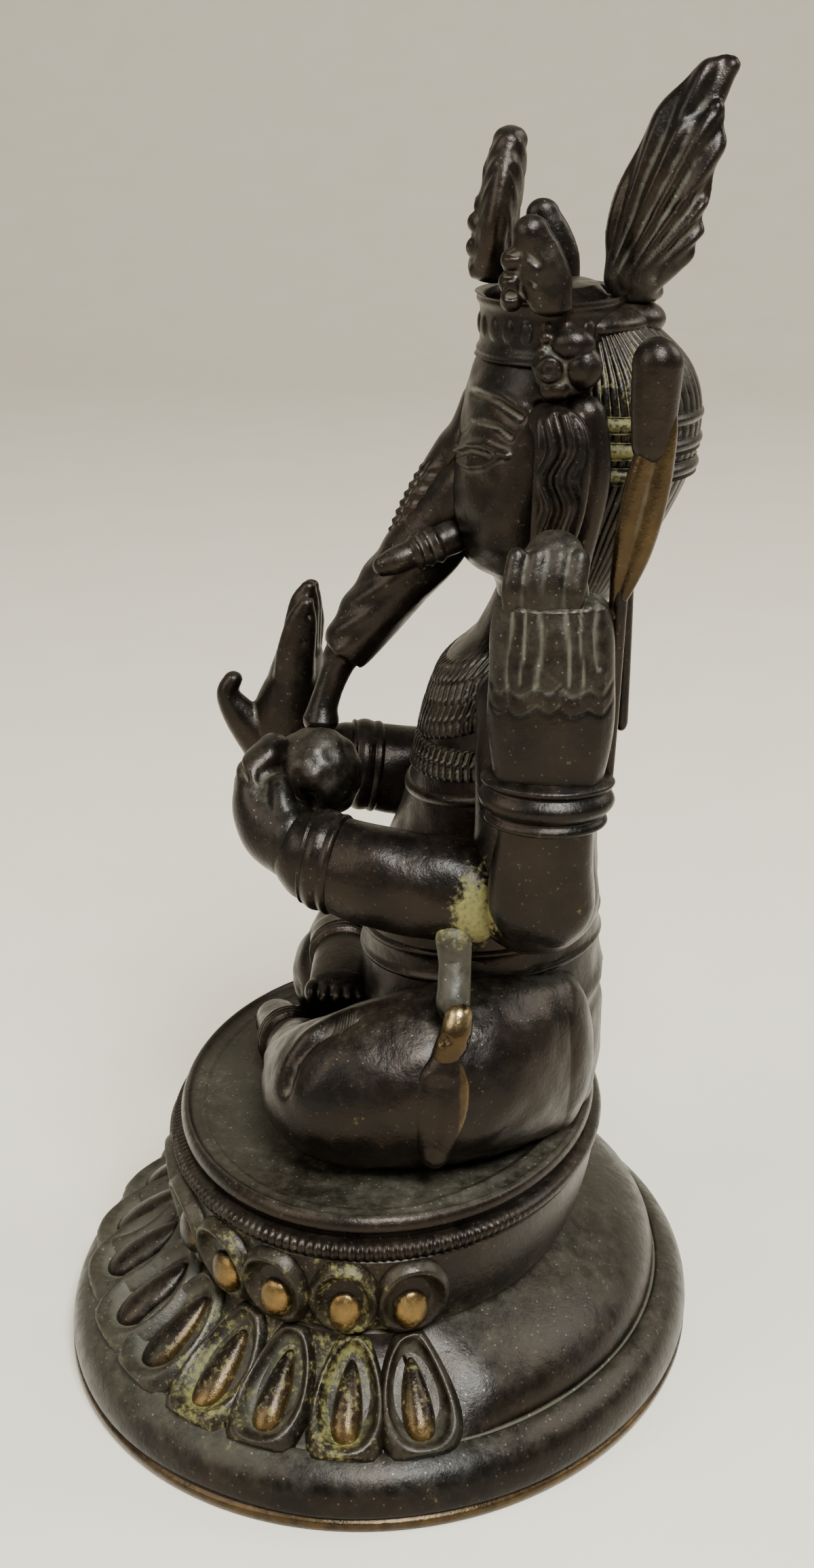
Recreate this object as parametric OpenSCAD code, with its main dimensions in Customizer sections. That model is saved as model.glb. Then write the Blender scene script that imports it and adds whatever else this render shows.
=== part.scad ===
// Seated four-armed elephant-headed deity on an oval double-lotus base, cast in brass.
// Millimetres. Z is up, the figure faces -Y, and the origin is the middle of the underside.

/* [Base] */
// Width of the lotus foot, from the figure's right to its left
foot_w = 112; // [106:1:135]
// Depth of the lotus foot, front to back
foot_d = 89; // [84:1:107]
// Height of the rounded flange at the bottom of the foot
flange_h = 9; // [7.5:0.5:11]
// Height of the waist where the two rows of petals meet
waist_z = 19.5; // [17:0.5:23.5]
// Height of the deck that the figure sits on
deck_z = 36; // [33:0.2:43.2]
// Width of the seat at its beaded rim
seat_w = 88; // [84:0.2:105.6]
// Depth of the seat at its beaded rim
seat_d = 61; // [59:0.2:73.2]
// How far the seat stands behind the middle of the foot
seat_back = 1.5; // [0:0.5:3]
// Thickness of the cast shells
shell_t = 2.4; // [2:0.1:3]
// Thickness of the copper plate that closes the underside
plate_t = 0.8; // [0.6:0.1:1.4]
// Thickness of the deck plate
deck_t = 2.4; // [2:0.1:3]
// Thickness of the beaded rim
rim_t = 2.6; // [2:0.1:3.2]

/* [Petals] */
// Number of petals in the lower row
foot_petal_count = 15; // [13:2:21]
// Number of petals in the upper row
drum_petal_count = 13; // [11:2:17]
// How far the petals stand off the shell
petal_lift = 1.3; // [0.9:0.1:2]
// Angle from the front at which both rows of petals end
petal_span = 106; // [90:1:120]

/* [Figure] */
// Height of the figure, from the deck to the tip of its crest
figure_h = 140; // [129:1:168]
// Half thickness of the trunk at its root
trunk_r = 5.2; // [4.3:0.1:6.3]
// Radius of the ball of sweets
sweet_r = 6.2; // [5.2:0.1:7.5]
// Thickness of the belt and the other worn bands
band_t = 0.9; // [0.7:0.1:1.3]
// Thickness of the crown band
crown_t = 1.6; // [1.3:0.1:2.2]

/* [Joints] */
// Diameter of the two rivets that hold the figure on the deck
rivet_d = 5; // [4:0.1:6]
// Diameter of the pin in the neck
neck_pin_d = 6; // [5:0.1:7.2]
// Diameter of the peg under the crest
crest_peg_d = 3; // [2.5:0.1:3.6]
// Room left round every rivet, pin and peg
pin_gap = 0.1; // [0.05:0.01:0.2]

/* [Hidden] */

drawn_h = 140;              // height at which the figure's own numbers below were set out
fig = figure_h / drawn_h;   // everything on the deck grows with the figure
sides = 36;                 // corners of each oval of the base
$fn = 10;

patina = "#4a3f2c";
worn = "#8a6a32";
bright = "#c9a24a";
copper = "#8c5a3c";

// ---- Ovals, stacks and limbs ----

// A ring of corners at one height: half width, half depth, and how far its middle stands back.
function oval_ring(half_w, half_d, back, z, n) =
    [for (i = [0 : n - 1]) [half_w * cos(360 * i / n), back + half_d * sin(360 * i / n), z]];

// A solid made of ovals stacked upward. Each row is [half width, half depth, back, z].
module oval_stack(rows, n = 20) {
    last = len(rows) - 1;
    corners = [for (r = rows) each oval_ring(r[0], r[1], r[2], r[3], n)];
    walls = [for (k = [0 : last - 1]) for (i = [0 : n - 1])
        [k * n + i, (k + 1) * n + i, (k + 1) * n + (i + 1) % n, k * n + (i + 1) % n]];
    polyhedron(corners, concat([[for (i = [0 : n - 1]) i]], walls,
        [[for (i = [n - 1 : -1 : 0]) last * n + i]]));
}

// A hollow ring: the rows go round its closed outline instead of ending at two caps.
module oval_shell(rows, n = sides) {
    count = len(rows);
    corners = [for (r = rows) each oval_ring(r[0], r[1], r[2], r[3], n)];
    polyhedron(corners, [for (k = [0 : count - 1]) for (i = [0 : n - 1])
        [k * n + i, ((k + 1) % count) * n + i, ((k + 1) % count) * n + (i + 1) % n, k * n + (i + 1) % n]]);
}

// A flat oval plate.
module oval_plate(half_w, half_d, thick)
    linear_extrude(thick) polygon([for (i = [0 : sides - 1])
        [half_w * cos(360 * i / sides), half_d * sin(360 * i / sides)]]);

// A point on a smooth curve through b and c, for t from 0 to 1.
function blend(a, b, c, d, t) = 0.5 * (2 * b + (c - a) * t + (2 * a - 5 * b + 4 * c - d) * t * t
    + (3 * b - a - 3 * c + d) * t * t * t);
function smooth_rows(rows, steps) = concat(
    [for (i = [0 : len(rows) - 2]) for (k = [0 : steps - 1])
        blend(rows[max(i - 1, 0)], rows[i], rows[i + 1], rows[min(i + 2, len(rows) - 1)], k / steps)],
    [rows[len(rows) - 1]]);

// Each row of a limb is an egg: [x, y, z, half width, half depth, half height].
module egg(row) translate([row[0], row[1], row[2]]) scale([row[3], row[4], row[5]]) sphere(1);
module limb(rows) {
    path = smooth_rows(rows, ceil(8 / (len(rows) - 1)));
    for (i = [0 : len(path) - 2]) hull() { egg(path[i]); egg(path[i + 1]); }
}
function grown(rows, extra) = [for (r = rows) [r[0], r[1], r[2], r[3] + extra, r[4] + extra, r[5] + extra]];

module on_deck() translate([0, 0, deck_z]) scale(fig) children();
module mirrored(right) mirror([right ? 1 : 0, 0, 0]) children();

// ---- Base ----

foot_half_w = foot_w / 2;
foot_half_d = foot_d / 2;
rim_half_w = seat_w / 2;
rim_half_d = seat_d / 2;
waist_half_w = rim_half_w - 3;
waist_half_d = rim_half_d - 3;
groove_in = 3.4;            // the flange's top edge is this far inside the foot's outline
drum_top = deck_z - deck_t - rim_t;
function back_at(z) = seat_back * z / deck_z;

// Rows of the lower shell's outside: flange, groove, then the bell up to the waist.
bell_h = waist_z - flange_h;
bell_run_w = foot_half_w - groove_in - 1.6 - waist_half_w;
bell_run_d = foot_half_d - groove_in - 1.6 - waist_half_d;
function bell_row(t, inset = 0) = [waist_half_w + bell_run_w * pow(1 - t, 1.6) - inset,
    waist_half_d + bell_run_d * pow(1 - t, 1.6) - inset, back_at(flange_h + bell_h * t), flange_h + bell_h * t];
flange_rows = [
    [foot_half_w - 0.8, foot_half_d - 0.8, 0, 0],
    [foot_half_w, foot_half_d, 0, 1.2],
    [foot_half_w, foot_half_d, 0, 0.45 * flange_h],
    [foot_half_w - 1, foot_half_d - 1, 0, 0.78 * flange_h],
    [foot_half_w - groove_in, foot_half_d - groove_in, 0, flange_h]];
bell_steps = 5;
bell_rows = [for (k = [0 : bell_steps]) bell_row(k / bell_steps)];
foot_rows = concat(flange_rows, bell_rows);

// Rows of the upper shell's outside: it flares from the waist to the underside of the rim.
drum_h = drum_top - waist_z;
drum_steps = 3;
function drum_row(t, inset = 0) = [waist_half_w + 2 * sin(90 * t) - inset, waist_half_d + 2 * sin(90 * t) - inset,
    back_at(waist_z + drum_h * t), waist_z + drum_h * t];
drum_rows = [for (k = [0 : drum_steps]) drum_row(k / drum_steps)];

module lotus_foot() color(patina) {
    inside = [for (t = [1, 0.5, 0]) bell_row(t, shell_t)];
    ledge = [foot_half_w - groove_in - shell_t, foot_half_d - groove_in - shell_t];
    oval_shell(concat(foot_rows, inside, [
        [ledge[0] - 1.6, ledge[1] - 1.6, 0, flange_h - shell_t],
        [ledge[0], ledge[1], 0, plate_t + 1.2],
        [ledge[0] - 1.2, ledge[1] - 1.2, 0, plate_t],
        [ledge[0] + 1.2, ledge[1] + 1.2, 0, plate_t],
        [ledge[0] + 1.2, ledge[1] + 1.2, 0, 0]]));
}

module base_plate() color(copper)
    oval_plate(foot_half_w - groove_in - shell_t + 1.1, foot_half_d - groove_in - shell_t + 1.1, plate_t);

// Petals spread evenly by angle on an oval; each is drawn lying on the slope between two rows.
function petal_angle(i, count) = -90 + petal_span * (2 * i / (count - 1) - 1);
function petal_egg(row, angle, out, size) = concat(
    [(row[0] + out) * cos(angle), (row[1] + out) * sin(angle) + row[2], row[3]], [size, size, size]);

module petal_row(count, low, mid, high, wide) {
    for (i = [0 : count - 1]) {
        a = petal_angle(i, count);
        spread = 360 / count * 0.17;
        hull() {
            egg(petal_egg(low, a, -0.6, wide * 0.35));
            egg(petal_egg(mid, a - spread, petal_lift - wide * 0.4, wide * 0.4));
            egg(petal_egg(mid, a + spread, petal_lift - wide * 0.4, wide * 0.4));
            egg(petal_egg(high, a, -0.8, wide * 0.4));
        }
    }
}

module foot_petals() color(patina) difference() {
    $fn = 5;
    petal_row(foot_petal_count, bell_row(0.05), bell_row(0.34), bell_row(0.84), 4.6);
    oval_stack(foot_rows, sides);
}

module seat_drum() color(patina)
    oval_shell(concat(drum_rows, [for (t = [1, 0.5, 0]) drum_row(t, shell_t)]));

module drum_petals() color(patina) difference() {
    $fn = 5;
    petal_row(drum_petal_count, drum_row(0.2), drum_row(0.5), drum_row(0.78), 4);
    oval_stack(drum_rows, sides);
}

// The rim carries the deck; its outside is the round bead.
module bead_rim() color(worn) {
    rim_z = drum_top;
    inner_w = rim_half_w - 4.6;
    inner_d = rim_half_d - 4.6;
    back = back_at(rim_z);
    oval_shell([
        [rim_half_w - 1, rim_half_d - 1, back, rim_z],
        [rim_half_w, rim_half_d, back, rim_z + 0.3 * rim_t],
        [rim_half_w, rim_half_d, back, rim_z + 0.7 * rim_t],
        [rim_half_w - 1, rim_half_d - 1, back, rim_z + rim_t],
        [inner_w, inner_d, back, rim_z + rim_t],
        [inner_w, inner_d, back, rim_z]]);
}

rivet_y = [9, 21];          // where the two rivets stand, from the middle of the deck
module rivet_bores(d, z, h) for (y = rivet_y)
    translate([0, y, z]) cylinder(d = d, h = h, $fn = 32);

module seat_deck() color(patina) difference() {
    translate([0, back_at(drum_top), deck_z - deck_t])
        oval_plate(rim_half_w - 1.6, rim_half_d - 1.6, deck_t);
    rivet_bores(rivet_d + 2 * pin_gap, deck_z - deck_t - 1, deck_t + 2);
}

rivet_depth = 12;           // how far each rivet goes up into the figure
rivet_head_t = 2;
module figure_rivets() color(bright) {
    rivet_bores(rivet_d, deck_z - deck_t, deck_t + rivet_depth * fig);
    rivet_bores(rivet_d + 4, deck_z - deck_t - rivet_head_t, rivet_head_t);
}

// ---- Body ----

neck_z = 71.5;
// Rows are [half width, half depth, back, z], from the seat up to the flat top of the neck.
torso_rows = [
    [17, 15, 15, 0], [18.6, 16.3, 14.8, 6], [19, 16.8, 14.4, 14], [18.6, 16.4, 14.2, 24],
    [17.6, 15.4, 14.8, 33], [16.4, 13.6, 16.6, 42], [16.6, 12.6, 17.8, 50], [16.8, 11.6, 18.4, 57],
    [15.4, 10.2, 19.4, 63], [12, 8, 21, 67], [8.4, 6, 21.8, neck_z]];
function widened(rows, extra) = [for (r = rows) [r[0] + extra, r[1] + extra, r[2], r[3]]];

neck_pin_y = 20.5;
neck_pin_half = 9;          // the pin's length on each side of the neck joint
module neck_hole(d, half) translate([0, neck_pin_y, neck_z - half]) cylinder(d = d, h = 2 * half, $fn = 32);

module torso() color(patina) difference() {
    on_deck() oval_stack(torso_rows);
    rivet_bores(rivet_d + 2 * pin_gap, deck_z - 1, rivet_depth * fig + 1.5);
    on_deck() neck_hole(neck_pin_d / fig + 2 * pin_gap, neck_pin_half + 0.3);
}

module neck_pin() color(bright) on_deck() neck_hole(neck_pin_d / fig, neck_pin_half);

// A band round the body. Each row is [height, breadth, tip]: it lies between two planes that tip forward.
belt_row = [25.5, 5, 4];
chest_row = [53, 4.4, 10];
necklace_row = [63, 9, 26];
band_middle_y = 18;         // the planes tip about this line
module band_solid(row, extra) intersection() {
    oval_stack(widened(torso_rows, extra));
    translate([0, band_middle_y, row[0]]) rotate([row[2], 0, 0]) for (side = [0 : 7]) hull() {
        rotate(side * 45) translate([0, -40, -row[1] / 2]) cube([40, 80, row[1]]);
    }
}
module body_band(row, extra) color(worn) on_deck() difference() {
    band_solid(row, extra);
    oval_stack(torso_rows);
}
necklace_t = band_t * 0.8;
module belt() body_band(belt_row, band_t);
module chest_band() body_band(chest_row, band_t);
module necklace() difference() {
    body_band(necklace_row, necklace_t);
    on_deck() band_solid(chest_row, band_t);
    on_deck() limb(bun_rows);
}

// ---- Legs ----

left_leg_rows = [
    [13, 25, 12, 8, 5.5, 11.8], [21, 15, 12.5, 10.5, 10, 12.3], [24.5, 4, 11.4, 11, 11, 11.3],
    [24, -3, 10, 9.5, 9.6, 9.9], [15, -8.5, 7.2, 7.5, 6.2, 7.1], [5, -10.5, 5.4, 5, 4.8, 5.3]];
right_leg_rows = [
    [13, 25, 12, 8, 5.5, 11.8], [21, 15, 12.5, 10.5, 10, 12.3], [24.5, 3, 11.2, 11, 11, 11.1],
    [24, -4.6, 9.8, 9.6, 9.8, 9.7], [17.5, -9.6, 8.2, 7, 5.6, 8]];
left_foot_rows = [[5, -11, 4.8, 4.4, 4, 4.6], [-2, -13.5, 4.2, 4.4, 3.8, 4.1],
    [-8, -15.6, 3.4, 4.2, 3.4, 3.3], [-12.4, -17, 2.9, 3, 3.2, 2.8]];
right_foot_rows = [[-15, -8, 14.6, 4, 4.2, 4], [-9, -6.4, 15.6, 4, 4.2, 3.6],
    [-2, -5.4, 15.8, 3.8, 4.6, 3], [4, -5, 15.6, 2.6, 4.6, 2.4]];

module body_solid() oval_stack(torso_rows);
module above_deck() translate([-60, -60, 0]) cube([120, 120, 160]);

module left_leg() color(patina) on_deck() difference() {
    intersection() { limb(left_leg_rows); above_deck(); }
    body_solid();
    band_solid(belt_row, band_t);
}
module right_leg() color(patina) on_deck() difference() {
    mirrored(true) intersection() { limb(right_leg_rows); above_deck(); }
    body_solid();
    band_solid(belt_row, band_t);
    left_foot_solid();
}
module left_foot_solid() intersection() { limb(left_foot_rows); above_deck(); }
module left_foot() color(patina) on_deck() difference() {
    left_foot_solid();
    limb(left_leg_rows);
    body_solid();
}
module right_foot() color(patina) on_deck() difference() {
    limb(right_foot_rows);
    body_solid();
    limb(left_leg_rows);
    mirrored(true) limb(right_leg_rows);
}

// A ring worn round a foot: the foot's own shape, grown, between two upright planes.
module foot_ring(rows, x, wide) difference() {
    intersection() {
        limb(grown(rows, band_t));
        translate([x, -60, 0]) cube([wide, 120, 60]);
    }
    limb(rows);
    limb(left_leg_rows);
    mirrored(true) limb(right_leg_rows);
    body_solid();
}
anklet_wide = 2.2;
left_anklet_x = -2.4;
right_anklet_x = -8.4;
module left_anklet() color(worn) on_deck() foot_ring(left_foot_rows, left_anklet_x, anklet_wide);
module right_anklet() color(worn) on_deck() foot_ring(right_foot_rows, right_anklet_x, anklet_wide);

// ---- Arms ----

upper_arm_rows = [[17, 21.5, 61, 5.4, 7.2, 6.4], [20, 22, 50, 4.8, 7.4, 7], [22.6, 22.6, 38, 7.4, 8.2, 8.2]];
front_forearm_rows = [[22.5, 14, 37.6, 6.2, 6, 6.8], [22, 3, 38.8, 6, 6, 6.8], [19.6, -7, 40.8, 5.4, 4.6, 6]];
rear_forearm_rows = [[28, 23.6, 40, 5.6, 7, 7], [29.6, 24, 51, 4.6, 6.2, 4], [30, 24.4, 62, 5.2, 7.9, 6],
    [29.4, 24.4, 74, 5.2, 7.6, 4.4]];
rear_hand_rows = [[28.6, 23.4, 77, 4.8, 5.2, 4], [28.2, 23, 81.4, 4.8, 4.8, 4], [28, 23.2, 84.4, 4, 3.8, 2.4]];
left_hand_rows = [[18.4, -9.6, 42.2, 4.8, 4, 5.4], [15.4, -13.6, 44, 4.8, 3.8, 5],
    [12.6, -15.2, 48.4, 4.6, 2.9, 4], [10.6, -13, 51.6, 3.8, 2.6, 2.6]];
right_hand_rows = [[18.8, -9.4, 41, 4.6, 4.2, 5], [19, -16, 45.2, 4.2, 7, 5], [19.4, -14.2, 54.8, 4.2, 3.8, 5],
    [19.4, -12.8, 64.6, 3.4, 2.2, 3]];
right_thumb_rows = [[18, -20.8, 45.4, 3, 3.8, 4], [17.4, -23.6, 49.6, 2.4, 2.5, 3],
    [17.2, -23.6, 53.4, 2, 1.8, 2]];

module upper_arm_solid() limb(upper_arm_rows);
module leg_solids() { limb(left_leg_rows); mirrored(true) limb(right_leg_rows); }
module upper_arm(right) color(patina) on_deck() difference() {
    mirrored(right) upper_arm_solid();
    body_solid();
    band_solid(chest_row, band_t);
    band_solid(necklace_row, necklace_t);
    leg_solids();
}
module front_forearm(right) color(patina) on_deck() difference() {
    mirrored(right) limb(front_forearm_rows);
    mirrored(right) upper_arm_solid();
    body_solid();
    leg_solids();
}
module rear_forearm(right) color(patina) on_deck() difference() {
    mirrored(right) limb(rear_forearm_rows);
    mirrored(right) upper_arm_solid();
    leg_solids();
}
module rear_hand(right) color(patina) on_deck() difference() {
    mirrored(right) limb(rear_hand_rows);
    mirrored(right) limb(rear_forearm_rows);
    head_solid();
}
sweet_at = [8, -7.6, 48];
module sweet_ball() color(worn) on_deck() translate(sweet_at) sphere(sweet_r / fig, $fn = 32);
module left_front_hand() color(patina) on_deck() difference() {
    limb(left_hand_rows);
    limb(front_forearm_rows);
    translate(sweet_at) sphere(sweet_r / fig + 0.02, $fn = 32);
    body_solid();
}
module right_front_hand() color(patina) on_deck() difference() {
    mirrored(true) { limb(right_hand_rows); limb(right_thumb_rows); }
    mirrored(true) limb(front_forearm_rows);
    body_solid();
}
bracelet_y = -7.6;
bracelet_wide = 2.6;
module bracelet(right) color(worn) on_deck() difference() {
    mirrored(right) intersection() {
        limb(grown(front_forearm_rows, band_t));
        translate([0, bracelet_y, 0]) cube([60, bracelet_wide, 80]);
    }
    mirrored(right) limb(front_forearm_rows);
    limb(left_hand_rows);
    mirrored(true) limb(right_hand_rows);
    body_solid();
}
armlet_z = 48.4;
armlet_high = 5;
module armlet(right) color(worn) on_deck() difference() {
    mirrored(right) intersection() {
        limb(grown(rear_forearm_rows, band_t + 0.3));
        translate([0, 0, armlet_z]) cube([60, 60, armlet_high]);
    }
    mirrored(right) limb(rear_forearm_rows);
    mirrored(right) upper_arm_solid();
    body_solid();
}

// ---- Things held in the rear hands ----

axe_shaft_rows = [[27.6, 32.8, 50, 1.3, 1.3, 1.6], [27.6, 33.2, 62, 1.2, 1.2, 2], [27.6, 32.8, 76, 1.2, 1.2, 2]];
axe_blade_rows = [[27.6, 32.6, 78, 1.8, 2, 3], [27.6, 33.6, 88, 2.2, 3, 5], [27.6, 35.4, 99, 2.4, 3.2, 4.4],
    [27.6, 36, 106, 3, 3.2, 3.4]];
module axe() color(bright) on_deck() difference() {
    union() { limb(axe_shaft_rows); limb(axe_blade_rows); }
    limb(rear_forearm_rows);
    limb(rear_hand_rows);
    upper_arm_solid();
    limb(bun_rows);
}
goad_rows = [[27.6, 33.9, 44, 1.4, 1.4, 1.6], [27.6, 34, 60, 1.3, 1.3, 2], [27.6, 33.6, 80, 1.3, 1.3, 2],
    [27.6, 32, 94, 1.5, 1.8, 2.4]];
goad_hook = [[27.6, 33, 84, 1.3, 1.6, 1.6], [27.6, 36.6, 87, 1, 1.2, 1.2]];
module goad() color(bright) on_deck() difference() {
    mirrored(true) { limb(goad_rows, $fn = 8); hull() { egg(goad_hook[0]); egg(goad_hook[1]); } }
    mirrored(true) { limb(rear_forearm_rows); limb(rear_hand_rows); upper_arm_solid(); }
    limb(bun_rows);
}

// ---- Head ----

head_top = 112;
crown_z = 103;
// Rows are [half width, half depth, back, z], from the neck joint up to the stub inside the crown.
head_rows = [
    [8.4, 6, 21.8, neck_z], [9.6, 6.6, 21.6, 75], [13, 9.4, 20.4, 77], [14.6, 10, 20, 81], [15.8, 10.4, 20, 86],
    [16, 10.4, 20.8, 92], [15.2, 10, 21.6, 98], [13.8, 9.4, 22.2, crown_z],
    [12, 7.8, 22.4, crown_z + 0.2], [11.4, 7.4, 22.8, 109], [8, 5, 23, head_top]];
module head_solid() oval_stack(head_rows);
module head() color(patina) on_deck() difference() {
    head_solid();
    for (right = [false, true]) mirrored(right) translate([crown_out_w - 0.05, rosette_y, rosette_z])
        rotate([0, 90, 0]) cylinder(r = rosette_r + rosette_petal_r + 0.1, h = 6, $fn = 32);
    neck_hole(neck_pin_d / fig + 2 * pin_gap, neck_pin_half + 0.3);
}

trunk_rows = [[0, 10.4, 86, trunk_r + 1.2, 4, 6], [0, 6.8, 78.4, trunk_r, trunk_r, 5],
    [0.4, 2.6, 73, 4.9, 4.6, 4.6], [1.2, -1.6, 67.4, 4.4, 4.1, 4.1], [2.6, -5, 62, 3.6, 3.3, 3.3],
    [4.4, -7.3, 57.4, 2.8, 2.3, 2.5]];
module trunk() color(patina) on_deck() difference() {
    limb(trunk_rows);
    head_solid();
    translate(sweet_at) sphere(sweet_r / fig + 0.02, $fn = 32);
    body_solid();
    limb(left_hand_rows);
}

trunk_out = trunk_r - 5.2;  // how much thicker the trunk's root is than drawn
tusk_rows = [[7, 9.6, 80, 2, 2.2, 2], [8.6 + trunk_out, 5.4, 78.2, 1.9, 1.9, 1.9],
    [9.6 + trunk_out, 1.8, 77, 1.4, 1.4, 1.4]];
module tusk(right) color(bright) on_deck() difference() {
    mirrored(right) limb(tusk_rows);
    head_solid();
    limb(trunk_rows);
}

ear_rows = [[15.4, 22.4, 95.6, 2, 2.6, 2.6], [18, 25, 94.6, 1.7, 3.8, 4], [18.4, 25, 87.4, 1.6, 4.2, 5],
    [17, 23, 79, 1.4, 2.4, 3]];
module ear(right) color(patina) on_deck() difference() {
    mirrored(right) limb(ear_rows);
    head_solid();
    limb(bun_rows);
}

brow_rows = [[0, 10.8, 95.5, 3, 2, 3], [0, 8 - trunk_out, 88.6, 3.2, 2.4, 4],
    [0, 5 - trunk_out, 82, 3.4, 2.4, 3.4], [0, 2.2 - trunk_out, 76.6, 2, 2, 2]];
module brow_ornament() color(worn) on_deck() difference() {
    limb(brow_rows);
    limb(trunk_rows);
    head_solid();
    mirrored(false) limb(tusk_rows);
    mirrored(true) limb(tusk_rows);
}

// ---- Crown and hair ----

crown_h = 9;
crown_gap = 0.1;            // room between the crown band and the stub that it slips over
crown_half_w = 12 + crown_gap;
crown_half_d = 7.8 + crown_gap;
crown_back = 22.4;
module crown_band() color(worn) on_deck() difference() {
    union() for (k = [0 : 8]) hull() for (z = [crown_z + 0.2, crown_z + crown_h]) translate([0, crown_back, z])
        for (a = [k * 40, k * 40 + 20, k * 40 + 40])
            translate([(crown_half_w + crown_t) * cos(a), (crown_half_d + crown_t) * sin(a), 0])
                cylinder(r = 0.4, h = 0.4, $fn = 8);
    oval_stack([[crown_half_w, crown_half_d, crown_back, crown_z], [crown_half_w, crown_half_d, crown_back, 115]]);
    limb(bun_rows);
    limb(crest_rows);
    crest_peg_rod(crest_peg_d / fig + 2 * pin_gap, crest_peg_h);
}

crown_out_w = crown_half_w + crown_t + 0.45;   // the band's outside, with a hair of room
crown_out_d = crown_half_d + crown_t + 0.45;

// A leaf standing on the crown: wide at its shoulders and pointed at the top.
function leaf_rows(half_w, high, thick) = [
    [0, 0, 0, half_w * 0.6, thick, 1.2], [0, 0, high * 0.3, half_w, thick * 1.1, high * 0.16],
    [0, 0, high * 0.62, half_w * 0.8, thick, high * 0.14], [0, 0, high * 0.96, 0.8, 0.8, 0.8]];
leaf_foot_z = crown_z + crown_h + 0.4;
front_leaf_y = 21.7 - crown_half_d;
front_leaf_lean = -9;
module front_crown_leaf() color(worn) on_deck() difference() {
    translate([0, front_leaf_y, leaf_foot_z + 0.8]) rotate([front_leaf_lean, 0, 0]) limb(leaf_rows(6.4, 18.2, 2.3));
    translate([-30, -20, leaf_foot_z - 20]) cube([60, 80, 20]);
    head_solid();
}
side_leaf_y = 20.4;
side_leaf_lean = 8;
module side_crown_leaf(right) color(worn) on_deck() mirrored(right) difference() {
    translate([crown_out_w, side_leaf_y, leaf_foot_z - 1.4]) rotate([0, side_leaf_lean, 90]) limb(leaf_rows(4.4, 10.2, 1.7));
    oval_stack([[crown_out_w, crown_out_d, crown_back, crown_z],
        [crown_out_w, crown_out_d, crown_back, leaf_foot_z]], sides);
    head_solid();
    limb(bun_rows);
}

// A flower of round petals on a disc, standing on edge against the side of the crown band.
rosette_r = 3.3;
rosette_t = 1.6;
rosette_petal_r = 1.3;
rosette_y = 24.9;
rosette_z = crown_z + 0.6;
module rosette(right) color(worn) on_deck() mirrored(right)
    translate([crown_out_w + rosette_petal_r - rosette_t / 2, rosette_y, rosette_z]) rotate([0, 90, 0]) {
        cylinder(r = rosette_r, h = rosette_t, $fn = 32);
        translate([0, 0, rosette_t]) sphere(1.5, $fn = 32);
        for (k = [0 : 7]) rotate(k * 45) translate([rosette_r, 0, rosette_t / 2])
            sphere(rosette_petal_r, $fn = 32);
    }

bun_rows = [[0, 28.2, 107, 9.5, 6, 3.4], [0, 30.8, 100, 12.8, 10, 7], [0, 31.2, 92, 13, 10.1, 7],
    [0, 28.6, 82, 12, 8.2, 7], [0, 26.6, 73.6, 9.5, 5.6, 4]];
// The peg lies half in the bun and half in the crest, and leans back with the crest.
crest_peg_at = [0, 33.6, 109];
crest_peg_h = 11.4;
crest_lean = -16;
module crest_peg_rod(d, h) translate(crest_peg_at) rotate([crest_lean, 0, 0])
    cylinder(d = d, h = h, center = true, $fn = 32);

module hair_bun() color(patina) on_deck() difference() {
    limb(bun_rows);
    head_solid();
    body_solid();
    crest_peg_rod(crest_peg_d / fig + 2 * pin_gap, crest_peg_h + 0.6);
}
ribbon_z = [88.6, 91.8, 95];
ribbon_h = 2.2;
module hair_ribbon() color(worn) on_deck() difference() {
    intersection() {
        limb(grown(bun_rows, band_t));
        for (z = ribbon_z) translate([-30, 0, z]) cube([60, 60, ribbon_h]);
    }
    limb(bun_rows);
    head_solid();
    for (right = [false, true]) mirrored(right) limb(ear_rows);
    limb(axe_blade_rows);
}

crest_rows = [[0, 31.4, 112.4, 3.6, 3.4, 2.4], [0, 33.2, 117, 4.8, 4.8, 4], [0, 35.8, 123, 5, 5.4, 4],
    [0, 38.6, 129.4, 4.2, 4.8, 4], [0, 41.4, 135, 2.6, 2.6, 2.6], [0, 43.2, 138.6, 1.2, 1.1, 1.4]];
module crest() color(patina) on_deck() difference() {
    limb(crest_rows);
    limb(bun_rows);
    head_solid();
    crest_peg_rod(crest_peg_d / fig + 2 * pin_gap, crest_peg_h + 0.6);
}
module crest_peg() color(bright) on_deck() crest_peg_rod(crest_peg_d / fig, crest_peg_h);

// ---- Scarf ----

scarf_rows = [[27, 12.6, 33, 2, 2.6, 2], [27.4, 12.8, 29.4, 2, 2.6, 2.4], [30, 12.8, 25, 2.4, 2.6, 3]];
scarf_tail_rows = [[32.6, 11.8, 17, 1.8, 3.6, 3], [33.8, 11.2, 11.4, 1.8, 3.9, 3.6], [33.2, 10.8, 5.4, 1.6, 1.6, 2.2]];
scarf_knot_row = [31.6, 12.9, 22.4, 2.8, 2.7, 4];
module scarf(right) color(worn) on_deck() difference() {
    mirrored(right) { limb(scarf_rows, $fn = 7); limb(scarf_tail_rows, $fn = 7); }
    mirrored(right) egg(scarf_knot_row);
    mirrored(right) { limb(right ? right_leg_rows : left_leg_rows); upper_arm_solid(); }
    mirrored(right) limb(front_forearm_rows);
}
module scarf_knot(right) color(bright) on_deck() difference() {
    mirrored(right) for (k = [0 : 8]) hull() { egg(scarf_knot_row); }
    leg_solids();
}

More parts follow.
